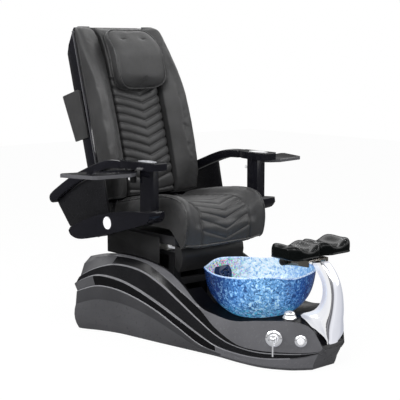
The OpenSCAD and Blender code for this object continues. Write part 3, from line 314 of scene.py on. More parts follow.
shell_grey = moulding("charcoal_moulding", (0.10, 0.10, 0.107), 0.28, 0.22)
shell_pale = moulding("grey_side_panel", (0.165, 0.165, 0.178), 0.26, 0.32)
# Painted shade: the darker grey of the strip just above the leaf.
shell_shaded = moulding("painted_shade_moulding", (0.062, 0.062, 0.067), 0.3, 0.3)
# Painted highlight: the pale lines along the ledges, where the light catches them.
shell_ledge_highlight = moulding("painted_ledge_highlight", (0.30, 0.30, 0.32), 0.3, 0.3)
# Painted dark reflection: near-black strips that end with a hard edge along the hull.
shell_dark_reflection = moulding("black_painted_reflection", (0.007, 0.007, 0.008), 0.2, 0.3)
# Painted glints: a near-black strip with pale specks of grainy reflection.
shell_glinted = moulding("recess_painted_glints", (0.011, 0.011, 0.013), 0.22, 0.35, painted_glint=0.3)
shell_deck = moulding("black_deck", (0.006, 0.006, 0.008), 0.34, 0.3)
lacquer = moulding("piano_black", (0.009, 0.009, 0.013), 0.09, 0.35, coat=0.25)
panel_black = moulding("satin_black_panel", (0.012, 0.012, 0.014), 0.28, 0.35)
grey_trim = moulding("grey_edge_trim", (0.12, 0.12, 0.13), 0.22)
mech_black = moulding("mechanism_black", (0.02, 0.02, 0.022), 0.4)
white_gloss = moulding("white_enamel", (0.82, 0.82, 0.84), 0.16)
shine(white_gloss, 0.35, (0.9, 0.9, 0.92))
pale_plastic = moulding("natural_nylon", (0.62, 0.62, 0.58), 0.42)
pipe_grey = moulding("pipe_grey", (0.25, 0.26, 0.27), 0.4)
rubber = moulding("black_rubber", (0.018, 0.018, 0.018), 0.62, 0.25)
roller_rubber = moulding("tan_rubber", (0.4, 0.36, 0.3), 0.55, 0.25)
jet_blue = moulding("dark_blue_jet", (0.01, 0.03, 0.11), 0.16)
impeller_grey = moulding("impeller_grey", (0.5, 0.56, 0.6), 0.3)
print("mouldings made")

# %% [markdown]
# Metals differ mostly by colour and roughness. Chrome is nearly a mirror,
# so it also gets painted reflections, as a glow, of the bands that a
# studio's walls would leave in it: pale floor, dark horizon, white ceiling,
# laid out by the reflected ray.
# %% Metals


def metal(name, colour, rough, grain=0.00002, brushed=14.0, bands=0.0):
    skin = Finish(name, colour, rough, Metallic=1.0)
    skin.link(skin.spread(skin.noise(30.0, 6.0, Roughness=0.7), rough * 0.6, rough * 1.5), "Roughness")
    skin.link(skin.clouds(colour, 4.0, 2.0, 0.93, 1.0), "Base Color")
    skin.relief((skin.noise(brushed, 3.0), grain))
    # Painted reflection: a glow in studio bands, by the reflected ray's height.
    if bands:
        back = skin.height_of(skin.add("TexCoord", vector=False).outputs["Reflection"])
        studio = ramp(skin.tree, skin.spread(back, 0.0, 1.0, -1.0, 1.0), (0.0, (0.60, 0.62, 0.70)),
                      (0.36, (0.95, 0.96, 1.0)), (0.43, (0.10, 0.10, 0.12)), (0.47, (0.95, 0.95, 0.97)),
                      (1.0, (0.8, 0.8, 0.84)))
        skin.link(studio, "Emission Color")
        skin.put(skin.skin, Emission_Strength=bands)
    return skin.mat


def powder_coat(name, colour):
    skin = Finish(name, colour, 0.5, Specular_IOR_Level=0.4)
    skin.link(skin.clouds(colour, 8.0, 3.0, 0.8, 1.0), "Base Color")
    skin.relief((skin.noise(700.0, 2.0), 0.00015))
    return skin.mat


chrome = metal("polished_chrome", (0.86, 0.87, 0.89), 0.06, 0.0002, bands=0.45)
sheet = Finish("folded_chrome_sheet", (0.5, 0.51, 0.53), 0.08, Metallic=1.0)
sheet.link(sheet.spread(sheet.noise(20.0, 5.0, Roughness=0.7), 0.04, 0.13), "Roughness")
champagne = metal("champagne_metal", (0.74, 0.68, 0.60), 0.2)
brass = metal("cast_brass", (0.62, 0.45, 0.2), 0.35, 0.00005, 300.0)
steel = powder_coat("black_powder_coat", (0.05, 0.05, 0.054))
print("metals made")

# %% [markdown]
# The bowl is thick blue glass with a hammered skin. The light that each
# dimple bends is painted into its colour: pale painted glints and navy
# painted shade break it into flecks. The light through the glass is painted
# too, bright in the middle and deep at both sides, laid out by how far the
# wall turns from left to right, and the rim takes a pale painted highlight.
# Its glow is hidden from its neighbours, which would turn blue otherwise.
# %% Hammered glass and sparkle finishes


def turned(skin):
    """0 for a wall that faces the camera's left, 1 for one that faces its right."""
    side = skin.add("VectorMath", vector=False)
    side.operation = "DOT_PRODUCT"
    skin.link(skin.add("NewGeometry", vector=False).outputs["Normal"], side.inputs[0])
    side.inputs[1].default_value = VIEW_RIGHT
    return skin.spread(side.outputs["Value"], 0.0, 1.0, -1.0, 1.0)


def glowing(skin, tone, strength):
    """Gives the finish a glow of its own that lights nothing else."""
    skin.link(math_node(skin.tree, "MULTIPLY", ray_kinds(skin.tree)[0], strength), "Emission Strength")
    skin.link(tone, "Emission Color")


def hammered(name, body, glints, deep, rough, clear, glow, specks=0.0, foot=None):
    """body and glints are colour stops over the wall's turn from left to right: painted light and painted
    glints. deep is the navy of the painted shade in the ripples.
    """
    skin = Finish(name, deep, rough, Transmission_Weight=clear, IOR=1.45, Specular_IOR_Level=0.5,
                  Coat_Weight=0.5, Coat_Roughness=0.03)
    turn = turned(skin)
    dimple = skin.add("TexVoronoi", Scale=62.0, Randomness=1.0)
    dimple.feature = "SMOOTH_F1"
    dimple.inputs["Smoothness"].default_value = 0.3
    ripple = skin.noise(64.0, 2.0, Roughness=0.6, Distortion=1.2)
    # Painted light by the wall's turn, with navy painted shade in the ripples' dips.
    tone = skin.mixed(skin.spread(ripple, 0.8, 0.0, 0.37, 0.5), ramp(skin.tree, turn, *body), deep)
    # Painted glints on the ripples' crests.
    light = skin.spread(ripple, 0.0, 0.85, 0.54, 0.66)
    tone = skin.mixed(light, tone, ramp(skin.tree, turn, *glints))
    if specks:
        share = skin.spread(turn, 0.0, specks, 0.55, 0.8)
        tone = skin.mixed(share, tone, skin.mixed(light, skin.cells(190.0)["Color"], (0.7, 0.9, 1.0)))
    if foot:
        low = skin.spread(skin.height_of(skin.place), 1.0, 0.0, 0.17, 0.24)
        flecks = skin.spread(skin.noise(70.0, 2.0, Distortion=0.8), 0.0, 1.0, 0.54, 0.62)
        tone = skin.mixed(math_node(skin.tree, "MULTIPLY", low, flecks), tone, foot)
    skin.relief((dimple.outputs["Distance"], 0.004), (ripple, 0.003))
    skin.link(tone, "Base Color")
    glowing(skin, tone, glow)
    return skin.mat


glass_outer = hammered(
    "blue_hammered_glass",
    [(0.03, (0.003, 0.010, 0.04)), (0.12, (0.006, 0.025, 0.11)), (0.27, (0.06, 0.20, 0.50)),
     (0.48, (0.16, 0.38, 0.68)), (0.66, (0.09, 0.27, 0.58)), (0.82, (0.016, 0.08, 0.30)),
     (0.97, (0.005, 0.02, 0.11))],
    [(0.05, (0.01, 0.04, 0.16)), (0.25, (0.30, 0.58, 0.88)), (0.5, (0.62, 0.86, 1.0)),
     (0.75, (0.22, 0.48, 0.80)), (0.97, (0.02, 0.08, 0.26))],
    (0.004, 0.02, 0.11), 0.07, 0.1, 0.62, foot=(0.05, 0.6, 0.86))
glass_inner = hammered(
    "pale_frosted_glass",
    [(0.05, (0.22, 0.42, 0.72)), (0.35, (0.66, 0.84, 0.96)), (0.62, (0.6, 0.8, 0.95)),
     (0.8, (0.14, 0.32, 0.62)), (0.97, (0.04, 0.12, 0.36))],
    [(0.05, (0.6, 0.8, 0.97)), (0.5, (0.97, 0.99, 1.0)), (0.97, (0.4, 0.6, 0.85))],
    (0.12, 0.30, 0.62), 0.16, 0.05, 0.5, specks=0.75)
# Painted highlight: the pale rim line.
glass_rim = hammered(
    "clear_rim_painted_highlight",
    [(0.05, (0.10, 0.20, 0.48)), (0.3, (0.62, 0.78, 0.95)), (0.97, (0.5, 0.66, 0.9))],
    [(0.05, (0.4, 0.55, 0.85)), (0.97, (0.98, 0.99, 1.0))], (0.10, 0.2, 0.5), 0.05, 0.2, 0.6)


def sparkle(name, colour, painted_glint, amount, size, rough):
    """Gloss with flecks of painted glint, thickest on what faces up, where the light falls."""
    skin = Finish(name, colour, rough, Specular_IOR_Level=0.15)
    up = skin.height_of(skin.add("NewGeometry", vector=False).outputs["Normal"])
    patch = skin.spread(skin.noise(14.0, 5.0, Roughness=0.75), 0.0, 1.0, 0.42, 0.62)
    reach = math_node(skin.tree, "MULTIPLY", skin.spread(up, 0.0, amount, 0.35, 0.95), patch)
    near = math_node(skin.tree, "LESS_THAN", skin.cells(size)["Distance"], reach)
    skin.link(skin.mixed(near, colour, painted_glint), "Base Color")
    skin.relief((skin.noise(90.0, 2.0), 0.0001))
    return skin.mat


# Painted glints: flecks on the footrest's top, and white specks on the silver inlay.
rest_black = sparkle("black_sparkle", (0.004, 0.005, 0.005), (0.62, 0.66, 0.66), 0.3, 170.0, 0.2)
inlay_silver = sparkle("silver_painted_glints", (0.42, 0.43, 0.46), (0.95, 0.96, 0.98), 0.6, 260.0, 0.12)
shine(inlay_silver, 0.4)
print("glass and sparkle made")

# %% [markdown]
# ## Rigid pieces
# A CAD solid has knife edges. Real mouldings and machined parts never do,
# and it is the small highlight along each edge that makes them believable.
# So each solid is merged, given a bevel, and shaded smooth up to its
# corners. The result stands for the CAD node and moves with its body.
# %% Dress a rigid node


def keep_mesh(obj, name=None):
    """The object's evaluated mesh as a new plain object; the old one goes."""
    name = name or obj.name
    obj.name = "before"
    mesh = bpy.data.meshes.new_from_object(obj.evaluated_get(bpy.context.evaluated_depsgraph_get()))
    made = show(name, mesh)
    bpy.data.objects.remove(obj)
    mesh.name = name
    return made


def solid(name, bm):
    """A new object from a bmesh, which goes."""
    mesh = bpy.data.meshes.new(name)
    bm.to_mesh(mesh)
    bm.free()
    return show(name, mesh)


def smooth_shade(obj, angle=40):
    obj.data.polygons.foreach_set("use_smooth", [True] * len(obj.data.polygons))
    obj.data.set_sharp_from_angle(angle=math.radians(angle))


def ease(t):
    """A soft step from 0 to 1."""
    u = np.clip(t, 0, 1)
    return u * u * (3 - 2 * u)


def round_off(u):
    """How far a quarter circle has drawn in at share u of its radius."""
    return 1 - math.sqrt(max(0.0, 1 - u * u))


def merged(node, flat=1.0):
    """A clean copy of a CAD node: doubles merged, flat triangles joined."""
    bm = bmesh.new()
    bm.from_mesh(nodes[node].data)
    bmesh.ops.remove_doubles(bm, verts=bm.verts, dist=2e-5)
    if flat:
        bmesh.ops.dissolve_limit(bm, angle_limit=math.radians(flat), verts=bm.verts, edges=bm.edges)
    return solid(node + "_finish", bm)


def stand_in(obj, node, *finishes):
    """Lets the object stand for a CAD node: hides the node, gives the object these finishes, and puts it on
    the node's body.
    """
    for finish in finishes:
        obj.data.materials.append(finish)
    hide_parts(node)
    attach(obj, nodes[node]["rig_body"])
    return obj


def dress(node, finish, width=1.0, steps=2, corner=30):
    """A bevelled, smoothly shaded stand-in for the node. Width is in mm."""
    obj = merged(node)
    bevel = obj.modifiers.new("edge", "BEVEL")
    bevel.width = width / 1000
    bevel.segments = steps
    bevel.limit_method = "ANGLE"
    bevel.angle_limit = math.radians(corner)
    bevel.use_clamp_overlap = True
    weigh = obj.modifiers.new("flat", "WEIGHTED_NORMAL")
    weigh.keep_sharp = True
    obj = keep_mesh(obj)
    smooth_shade(obj, 42)
    return stand_in(obj, node, finish)


small_works = {
    steel: ["chassis", "pedestal_frame", "seat_frame", "back_frame", "column_core"],
    chrome: ["drain_fitting", "mixer_cartridge", "mixer_lever", "mixer_plate", "button_bezel",
             "sprayer_collar", "sprayer_head", "footrest_pin", "slide_rails", "slide_rod", "recline_rod"],
    brass: ["water_inlets", "mixer_valve"],
    pipe_grey: ["drain_pipe"],
    rubber: ["levelling_feet"],
    jet_blue: ["jet_housing"],
    impeller_grey: ["jet_impeller"],
    white_gloss: ["air_button", "tray_left_knob", "tray_right_knob", "arm_left_badge", "arm_right_badge"],
    pale_plastic: ["slide_blocks", "massage_carriage"],
    roller_rubber: ["massage_rollers"],
    champagne: ["footrest_bracket"],
    mech_black: ["footrest_knob", "slide_actuator", "recline_actuator"],
    grey_trim: ["back_trim"],
}
for finish, members in small_works.items():
    for member in members:
        dress(member, finish, 0.7)
print("small rigid pieces", sum(map(len, small_works.values())))

# %% Arms, trays and the rear shell
# In metres: how far the panels' lower front edge reaches forward, and the
# height from which it does; then the shell's half-width, corner and drop
panel_reach, reach_from, reach_over = 0.075, 0.72, 0.12
shell_half, shell_corner, shell_drop = 0.262, 0.044, 0.04
# Tilts what was made upright, in the back's own frame, about its hinge
back_hinge, back_lean = (0, 0.431, 0.640), -15.7
lean = Matrix.Translation(back_hinge) @ Matrix.Rotation(math.radians(back_lean), 4, "X")

for side in ("right", "left"):
    dress(f"arm_{side}_rail", lacquer, 7, 4, 50)
    dress(f"arm_{side}_post", lacquer, 6, 4, 50)
    panel = dress(f"arm_{side}_panel", panel_black, 2, 2)
    for vert in panel.data.vertices:
        if vert.co.y < 0.4:
            vert.co.y -= panel_reach * ease((reach_from - vert.co.z) / reach_over)
    panel.data.update()
    dress(f"arm_{side}_pad", lacquer, 5, 4, 50)
    tray = dress(f"tray_{side}_plate", lacquer, 3, 3)
    tray.data.materials.append(grey_trim)
    # Painted highlight: the tray's sides take the lighter grey trim finish, for the light along its edges.
    for face in tray.data.polygons:
        if abs(face.normal.z) < 0.6:
            face.material_index = 1
    dress(f"tray_{side}_bracket", mech_black, 1.2)
shell = dress("back_shell", lacquer, 3, 3, 25)
upright = lean.inverted()
for vert in shell.data.vertices:
    local = upright @ vert.co
    local.z -= shell_drop * np.clip((local.y - 0.066) / 0.03, 0, 1) * ease((local.z - 0.56) / 0.22)
    far = shell_half - shell_corner * round_off(np.clip((local.z - 0.79) / 0.0545, 0, 1))
    local.x = min(far, max(-far, local.x))
    vert.co = lean @ local
shell.data.update()
dress("front_skirt", skirt_vinyl, 3, 3, 25)
dress("rear_skirt", skirt_vinyl, 1.5, 2)
dress("side_pocket", vinyl, 2.5, 3, 25)
print("arms, trays and shells dressed")

# %% [markdown]
# ## Curves shared with the frame
# The cushions and the base follow a few curves through points. The same
# curve rule as in the frame's source (Catmull-Rom) keeps both alike.
# %% Curve helpers
MM = 0.001


def curve(points, share):
    """Points at the shares (0 to 1) of a smooth open curve."""
    pts = np.array(points, float)
    last = len(pts) - 1
    u = np.clip(np.asarray(share, float), 0, 0.999999) * last
    i = np.floor(u).astype(int)
    t = (u - i)[..., None]
    p0, p1 = pts[np.maximum(i - 1, 0)], pts[i]
    p2, p3 = pts[i + 1], pts[np.minimum(i + 2, last)]
    return 0.5 * (2 * p1 + (p2 - p0) * t + (2 * p0 - 5 * p1 + 4 * p2 - p3) * t**2
                  + (3 * p1 - p0 - 3 * p2 + p3) * t**3)


def left_of(points, share):
    """Unit vector to the left of the curve."""
    share = np.asarray(share, float)
    d = curve(points, share + 0.004) - curve(points, share - 0.004)
    d = np.stack([-d[..., 1], d[..., 0]], -1)
    return d / np.linalg.norm(d, axis=-1, keepdims=True)


def circle(count):
    """Evenly spaced angles, once round."""
    return np.linspace(0, 2 * math.pi, count + 1)[:-1]


def ring_skin(name, rings, tube=False):
    """A closed mesh through rings of equal point counts, in metres.

    The first and last ring are filled, or joined to each other for a tube."""
    rings = np.array(rings, float)
    m, n = rings.shape[:2]
    verts = [tuple(p) for p in rings.reshape(-1, 3)]
    faces = [(a * n + b, (a + 1) % m * n + b, (a + 1) % m * n + (b + 1) % n, a * n + (b + 1) % n)
             for a in range(m if tube else m - 1) for b in range(n)]
    for ring in () if tube else (0, m - 1):
        verts.append(tuple(rings[ring].mean(0)))
        faces += [(len(verts) - 1, ring * n + b, ring * n + (b + 1) % n) for b in range(n)]
    mesh = bpy.data.meshes.new(name)
    mesh.from_pydata(verts, [], faces)
    bm = bmesh.new()
    bm.from_mesh(mesh)
    bmesh.ops.recalc_face_normals(bm, faces=bm.faces)
    bm.to_mesh(mesh)
    bm.free()
    return show(name, mesh)


def vectors_of(obj, kind="co"):
    """The places, or the normals, of all points of the object."""
    out = np.zeros(len(obj.data.vertices) * 3)
    obj.data.vertices.foreach_get(kind, out)
    return out.reshape(-1, 3)


def move_points(obj, co):
    obj.data.vertices.foreach_set("co", co.ravel())
    obj.data.update()


# %% [markdown]
# ## The base shell
# The moulding is lofted through the same crease lines as the frame's
# solid, in finer steps and with every crease rounded. Its flowing ribs part
# grey faces from near-black strips, so each strip takes its own finish,
# with painted dark reflection, painted shade and painted highlight lines
# laid in as finishes of their own.
# Then the well, the bowl's seat and the fittings' holes are cut.
# %% Base shell: crease lines
crease_lines = {
    "floor": [[352, 520, 4], [405, 488, 4], [358, 384, 4], [322, 280, 4], [303, 160, 4], [284, 30, 4],
              [263, -100, 4], [245, -210, 4], [232, -300, 4], [224, -430, 4], [202, -545, 4],
              [150, -634, 4], [110, -672, 4], [68, -700, 4]],
    "leaf": [[362, 538, 108], [412, 500, 120], [384, 386, 157], [352, 280, 160], [333, 170, 150],
             [312, 35, 118], [291, -100, 73], [270, -207, 34], [240, -300, 14], [227, -430, 14],
             [205, -547, 14], [153, -636, 14], [111, -675, 14], [68, -704, 14]],
    "rib_low": [[362, 536, 165], [409, 494, 182], [378, 386, 220], [350, 280, 219], [330, 165, 198],
                [310, 30, 157], [289, -100, 100], [265, -212, 46], [242, -302, 26], [229, -430, 26],
                [206, -547, 26], [154, -638, 26], [112, -678, 26], [69, -708, 28]],
    "rib_mid": [[366, 542, 204], [412, 508, 220], [382, 394, 269], [348, 280, 266], [327, 165, 240],
                [306, 30, 192], [286, -98, 138], [264, -212, 86], [246, -304, 51], [233, -430, 42],
                [209, -545, 44], [154, -636, 52], [112, -688, 60], [69, -734, 78]],
    "rib_high": [[350, 528, 240], [398, 490, 252], [374, 402, 300], [338, 290, 331], [312, 145, 323],
                 [295, 24, 281], [277, -87, 217], [258, -192, 153], [240, -293, 98], [235, -400, 74],
                 [222, -530, 70], [168, -626, 72], [112, -692, 76], [69, -742, 86]],
    "panel_low": [[322, 524, 304], [368, 488, 312], [332, 392, 352], [302, 285, 366], [282, 150, 358],
                  [279, 35, 326], [262, -105, 252], [249, -205, 196], [250, -300, 136], [242, -427, 87],
                  [225, -540, 82], [172, -628, 82], [113, -700, 84], [69, -746, 92]],
    "rim": [[292, 508, 336], [334, 480, 346], [306, 384, 369], [284, 285, 374], [264, 140, 364],
            [250, 20, 338], [247, -82, 288], [246, -197, 212], [250, -300, 194], [245, -415, 188],
            [227, -542, 210], [150, -658, 216], [98, -718, 190], [68, -757, 110]],
}

# %% Base shell: sections
STATIONS = 150
RIB_STEP, LIP_WIDTH, LIP_DROP, WALL = 11, 14, 10, 6
GREY, DARK_REFLECTION, DECK, GLINTED, PALE, SHADED, LEDGE_HIGHLIGHT = range(7)


def hull_side(t, inset):
    """One side's corner points at share t, from the floor to the deck.

    The ribs fade towards the bow, the lip drops there, and the leaf bellies out at the rear."""
    line = {name: curve(points, t) - (inset, inset * (1 - 2 * t), 0) for name, points in crease_lines.items()}
    fade = RIB_STEP + (1 - RIB_STEP) * float(ease((t - 0.35) / 0.35))
    drop = LIP_DROP + 32 * float(ease((t - 0.8) / 0.06) * ease((0.99 - t) / 0.06))
    low, high = line["floor"], line["leaf"]
    belly = 16 * float(ease((0.62 - t) / 0.5))
    side = [low] + [low + (high - low) * v + (belly * 4 * v * (1 - v), 0, 0) for v in (0.2, 0.4, 0.6, 0.8)]
    side += [high]
    for rib, share, rise in (("rib_low", 0.4, 3), ("rib_mid", 1, 4), ("rib_high", 0.8, 4)):
        side += [line[rib], line[rib] + (-fade * share, 0, rise)]
    side += [line["panel_low"], line["rim"] - (0, 0, drop if inset else 0)]
    side += [line["rim"] - (LIP_WIDTH, 0, drop)]
    if inset:
        side.insert(0, side[0] - (0, 0, 20))
    return np.array(side) - (0, 0, inset)


def rounded(side, radius):
    """Each inner corner of the section becomes three points on a small arc."""
    out = [side[0]]
    for before, corner, after in zip(side, side[1:], side[2:]):
        start, end = (corner + leg * min(radius, 0.4 * size) / max(size, 1e-6)
                      for leg, size in ((p - corner, np.linalg.norm(p - corner)) for p in (before, after)))
        out += [start, (start + end + 2 * corner) / 4, end]
    return out + [side[-1]]


def hull(name, inset):
    """The closed hull, drawn in by inset on all sides."""
    rings = []
    for t in np.linspace(0.015 if inset else 0, 0.985 if inset else 1, STATIONS):
        half = rounded(hull_side(t, inset), 0.01 if inset else 2.6)
        rings.append(np.array([p * (-1, 1, 1) for p in half] + half[::-1]) * MM)
    return ring_skin(name, rings)


# The finish of each strip from the floor up, the shares along the hull
# between which it holds, and the finish beyond them, to the bow. A hard
# change of finish along a strip is a painted reflection; the strip above
# the leaf is painted shade, and the ledges carry painted highlight lines.
strips = [(GREY, 0, 1, GREY)] * 5 + [
    (SHADED, 0, 0.62, PALE), (LEDGE_HIGHLIGHT, 0.05, 0.55, PALE), (DARK_REFLECTION, 0.145, 0.6, PALE), (LEDGE_HIGHLIGHT, 0.1, 0.85, GREY),
    (GLINTED, 0, 1, GREY), (LEDGE_HIGHLIGHT, 0.1, 0.9, PALE), (DARK_REFLECTION, 0.21, 1, GREY), (PALE, 0.2, 1, GREY),
    (DECK, 0, 1, GREY)]
base = hull("base_moulding", 0)
for finish in (shell_grey, shell_dark_reflection, shell_deck, shell_glinted, shell_pale, shell_shaded, shell_ledge_highlight):
    base.data.materials.append(finish)
rows = [strip for strip in strips for _ in range(3)][1:-1]
rows = rows + [(DECK, 0, 1, DECK)] + rows[::-1] + [(DECK, 0, 1, DECK)]
for index, face in enumerate(base.data.polygons[: (STATIONS - 1) * len(rows)]):
    finish, first, last, after = rows[index % len(rows)]
    at = index // len(rows) / STATIONS
    face.material_index = GREY if at < first else after if at > last else finish
print("base sections", STATIONS, "rows", len(rows))

# %% Base shell: openings
bowl_foot, bowl_rim, bowl_floor, bowl_height = 110, 246, 160, 208
bowl_wall, bowl_centre, drain_gap = 7, -322, 20.1
bowl_gap = 8
mixer_at, button_at, sprayer_at = (-192, -600, 141), (-124, -687, 136), (-90, -590, 150)
drain_at = (0, 470, 86)
well_half, well_front, well_back = 226, -100, 470
mouth_half, mouth_front = 147, -190
cut_low, cut_top = 160, 420


def bowl_radius(t):
    return bowl_foot + (bowl_rim - bowl_foot) * (0.8 * (1 - (1 - t) ** 3.3) + 0.2 * t)


def cylinder(name, radius, depth, place, turn=Matrix()):
    """A cutter: a cylinder up local Z from its foot at place, in mm."""
    bm = bmesh.new()
    bmesh.ops.create_cone(bm, cap_ends=True, segments=96, radius1=radius * MM, radius2=radius * MM,
                          depth=depth * MM)
    bm.transform(Matrix.Translation(Vector(place) * MM) @ turn @ Matrix.Translation((0, 0, depth * MM / 2)))
    return solid(name, bm)


def block(name, low, high):
    """A cutter: a box between two corners, in mm."""
    bm = bmesh.new()
    bmesh.ops.create_cube(bm, size=1)
    size = Vector(high) - Vector(low)
    bm.transform(Matrix.Translation((Vector(low) + size / 2) * MM) @ Matrix.Diagonal((*(size * MM), 1)))
    return solid(name, bm)


def into_panel(turn, depth):
    """Turns local Z to the near side panel's normal, then starts that deep in it, in mm."""
    face = Matrix.Rotation(math.radians(-turn), 4, "Z") @ Matrix.Rotation(math.radians(90), 4, "X")
    return face @ Matrix.Translation((0, 0, -depth * MM))


seat_of_bowl = [(bowl_foot + bowl_gap, -bowl_gap)]
seat_of_bowl += [(bowl_radius(t) + bowl_gap, t * bowl_height) for t in np.linspace(0, 1, 20)]
seat_of_bowl += [(200, bowl_height + 40)]
cutters = [
    hull("cut_hollow", WALL),
    block("cut_well", (-well_half, well_front, cut_low), (well_half, well_back, cut_top)),
    block("cut_mouth", (-mouth_half, mouth_front, cut_low), (mouth_half, well_front + 1, cut_top)),
    cylinder("cut_mixer", 29, 60, mixer_at, into_panel(56, 40)),
    cylinder("cut_button", 19, 50, button_at, into_panel(48, 30)),
    cylinder("cut_sprayer", 21, 80, sprayer_at),
    block("cut_core", (-7, -714, 120), (7, -632, 260)),
    cylinder("cut_drain", 26, 90, drain_at, Matrix.Rotation(math.radians(-90), 4, "X")),
    block("cut_inlets", (-148, 480, 42), (-42, 560, 140)),
    ring_skin("cut_bowl", [
        [(r * math.cos(a) * MM, (bowl_centre + r * math.sin(a)) * MM, (bowl_floor + z) * MM)
         for a in circle(96)] for r, z in seat_of_bowl]),
]
bpy.context.view_layer.update()
for cutter in cutters:
    cutter.data.polygons.foreach_set("material_index", [DECK] * len(cutter.data.polygons))
    cut = base.modifiers.new(cutter.name, "BOOLEAN")
    cut.operation = "DIFFERENCE"
    cut.solver = "EXACT"
    cut.object = cutter
base = keep_mesh(base)
for cutter in cutters:
    bpy.data.objects.remove(cutter)
smooth_shade(base, 48)
stand_in(base, "base_shell")
print("base faces", len(base.data.polygons))

# %% [markdown]
# ## The chrome column
# The column is a folded chrome sheet. Its long faces mirror the studio,
# and a painted reflection glows over them by how far each face turns from
# left to right: white on the long faces, and dark bands of the room behind
# the camera at the fold.
# %% Column cover
painted_room_reflection = ramp(
    sheet.tree, turned(sheet), (0.0, (0.62, 0.64, 0.74)), (0.1, (0.95, 0.96, 1.0)),
    (0.27, (0.97, 0.97, 0.98)), (0.31, (0.02, 0.02, 0.025)), (0.38, (0.30, 0.30, 0.33)),
    (0.43, (0.02, 0.02, 0.025)), (0.5, (0.25, 0.25, 0.28)), (0.56, (0.82, 0.83, 0.9)),
    (0.72, (0.92, 0.93, 1.0)), (1.0, (0.5, 0.52, 0.6)))
glowing(sheet, painted_room_reflection, 0.85)
column = merged("column_cover", flat=0)
smooth_shade(column, 80)
stand_in(column, "column_cover", sheet.mat)

# %% [markdown]
# ## The glass bowl
# The bowl is spun about its axis, then its rim rises and falls in slow
# waves and rolls outward a little. Two walls with a round lip between them
# give the glass its real thickness.
# %% Bowl
around = circle(192)
wave = 0.5 * np.sin(5 * around + 0.6) + 0.3 * np.sin(3 * around + 2.2) + 0.2 * np.sin(8 * around)
rim_top = bowl_height - 2 + 10 * wave


def wall_row(t, inner):
    """Radius and height, at every angle, at share t of the wall's height."""
    r, z = bowl_radius(t) + 5 * wave * t**6, rim_top * t
    return (r - bowl_wall, np.maximum(z, bowl_wall + 1.0)) if inner else (r, z)


def lip_row(angle):
    """The same on the round lip, from the outer wall over to the inner one."""
    a = math.radians(angle)
    middle = bowl_radius(1.0) + 5 * wave - bowl_wall / 2
    return middle + (bowl_wall / 2 + 1.2) * math.cos(a), rim_top + 6 * math.sin(a)


level = np.zeros(len(around))
profile = [(r + level, level) for r in (drain_gap, 60, bowl_foot - 4)]
profile += [wall_row(t, False) for t in np.linspace(0.02, 1, 34)]
profile += [lip_row(a) for a in np.linspace(20, 160, 7)]
profile += [wall_row(t, True) for t in np.linspace(1, 0.04, 34)]
profile += [(r + level, level + bowl_wall) for r in (bowl_foot - 10, 60, drain_gap)]
bowl = ring_skin("bowl_glass", [
    np.stack([r * np.cos(around), bowl_centre + r * np.sin(around), bowl_floor + z], -1) * MM
    for r, z in profile], tube=True)
stand_in(bowl, "bowl", glass_outer, glass_inner, glass_rim)
OUTSIDE, INSIDE, RIM = range(3)
for face in bowl.data.polygons:
    c, normal = face.center, face.normal
    inward = normal.x * c.x + normal.y * (c.y - bowl_centre * MM)
    top = c.z > (bowl_floor + 185) * MM and abs(normal.z) > 0.35
    face.material_index = RIM if top else INSIDE if inward < -1e-4 or normal.z > 0.8 else OUTSIDE
smooth_shade(bowl, 60)
print("bowl rows", len(profile), "faces", len(bowl.data.polygons))

# %% [markdown]
# ## Stuffed pieces
# Every cushion starts as a closed form a little smaller than its cover. It
# is remeshed into even cells and filled with air by the cloth solver, which
# crowns its faces and pulls in its corners. Seams and sewn channels come
# after, because remeshing would wipe them out.
# %% Inflate a cushion


def refined(obj):
    finer = obj.modifiers.new("finer", "SUBSURF")
    finer.levels = finer.render_levels = 1
    return keep_mesh(obj)


def fill_with_air(obj, pressure, frames):
    """Where the cloth solver leaves the points after so many frames."""
    cloth = obj.modifiers.new("air", "CLOTH")
    for name, value in {
        "use_pressure": True, "uniform_pressure_force": pressure, "quality": 4, "mass": 0.4,
        "tension_stiffness": 30, "compression_stiffness": 30, "shear_stiffness": 12,
        "bending_stiffness": 2,
    }.items():
        setattr(cloth.settings, name, value)
    cloth.settings.effector_weights.gravity = 0
    cloth.point_cache.frame_start = 1
    cloth.point_cache.frame_end = frames
    for step in range(1, frames + 1):
        scene.frame_set(step)
    blown = vectors_of(obj.evaluated_get(bpy.context.evaluated_depsgraph_get()))
    obj.modifiers.clear()
    scene.frame_set(1)
    return blown


def stuffed(obj, voxel, cap, shrink, hold, pressure=4.0):
    """Remeshes and inflates a closed form. hold(points) gives 0..1, where 1 stays put."""
    remesh = obj.modifiers.new("cells", "REMESH")
    remesh.mode = "VOXEL"
    remesh.voxel_size = voxel
    soften = obj.modifiers.new("soften", "SMOOTH")
    soften.factor = 0.5
    soften.iterations = 6
    obj = keep_mesh(obj)
    obj.data.update()
    start = vectors_of(obj) - vectors_of(obj, "normal") * shrink
    move_points(obj, start)
    swell = fill_with_air(obj, pressure, 20) - start
    swell -= swell.mean(0)
    length = np.linalg.norm(swell, axis=1, keepdims=True)
    swell *= np.minimum(1, cap / np.maximum(length, 1e-9))
    swell *= 1 - hold(start)[:, None]
    print(obj.name, "swelled by up to", round(float(length.max()) * 1000, 1), "mm before the cap")
    move_points(obj, start + swell)
    return refined(obj)


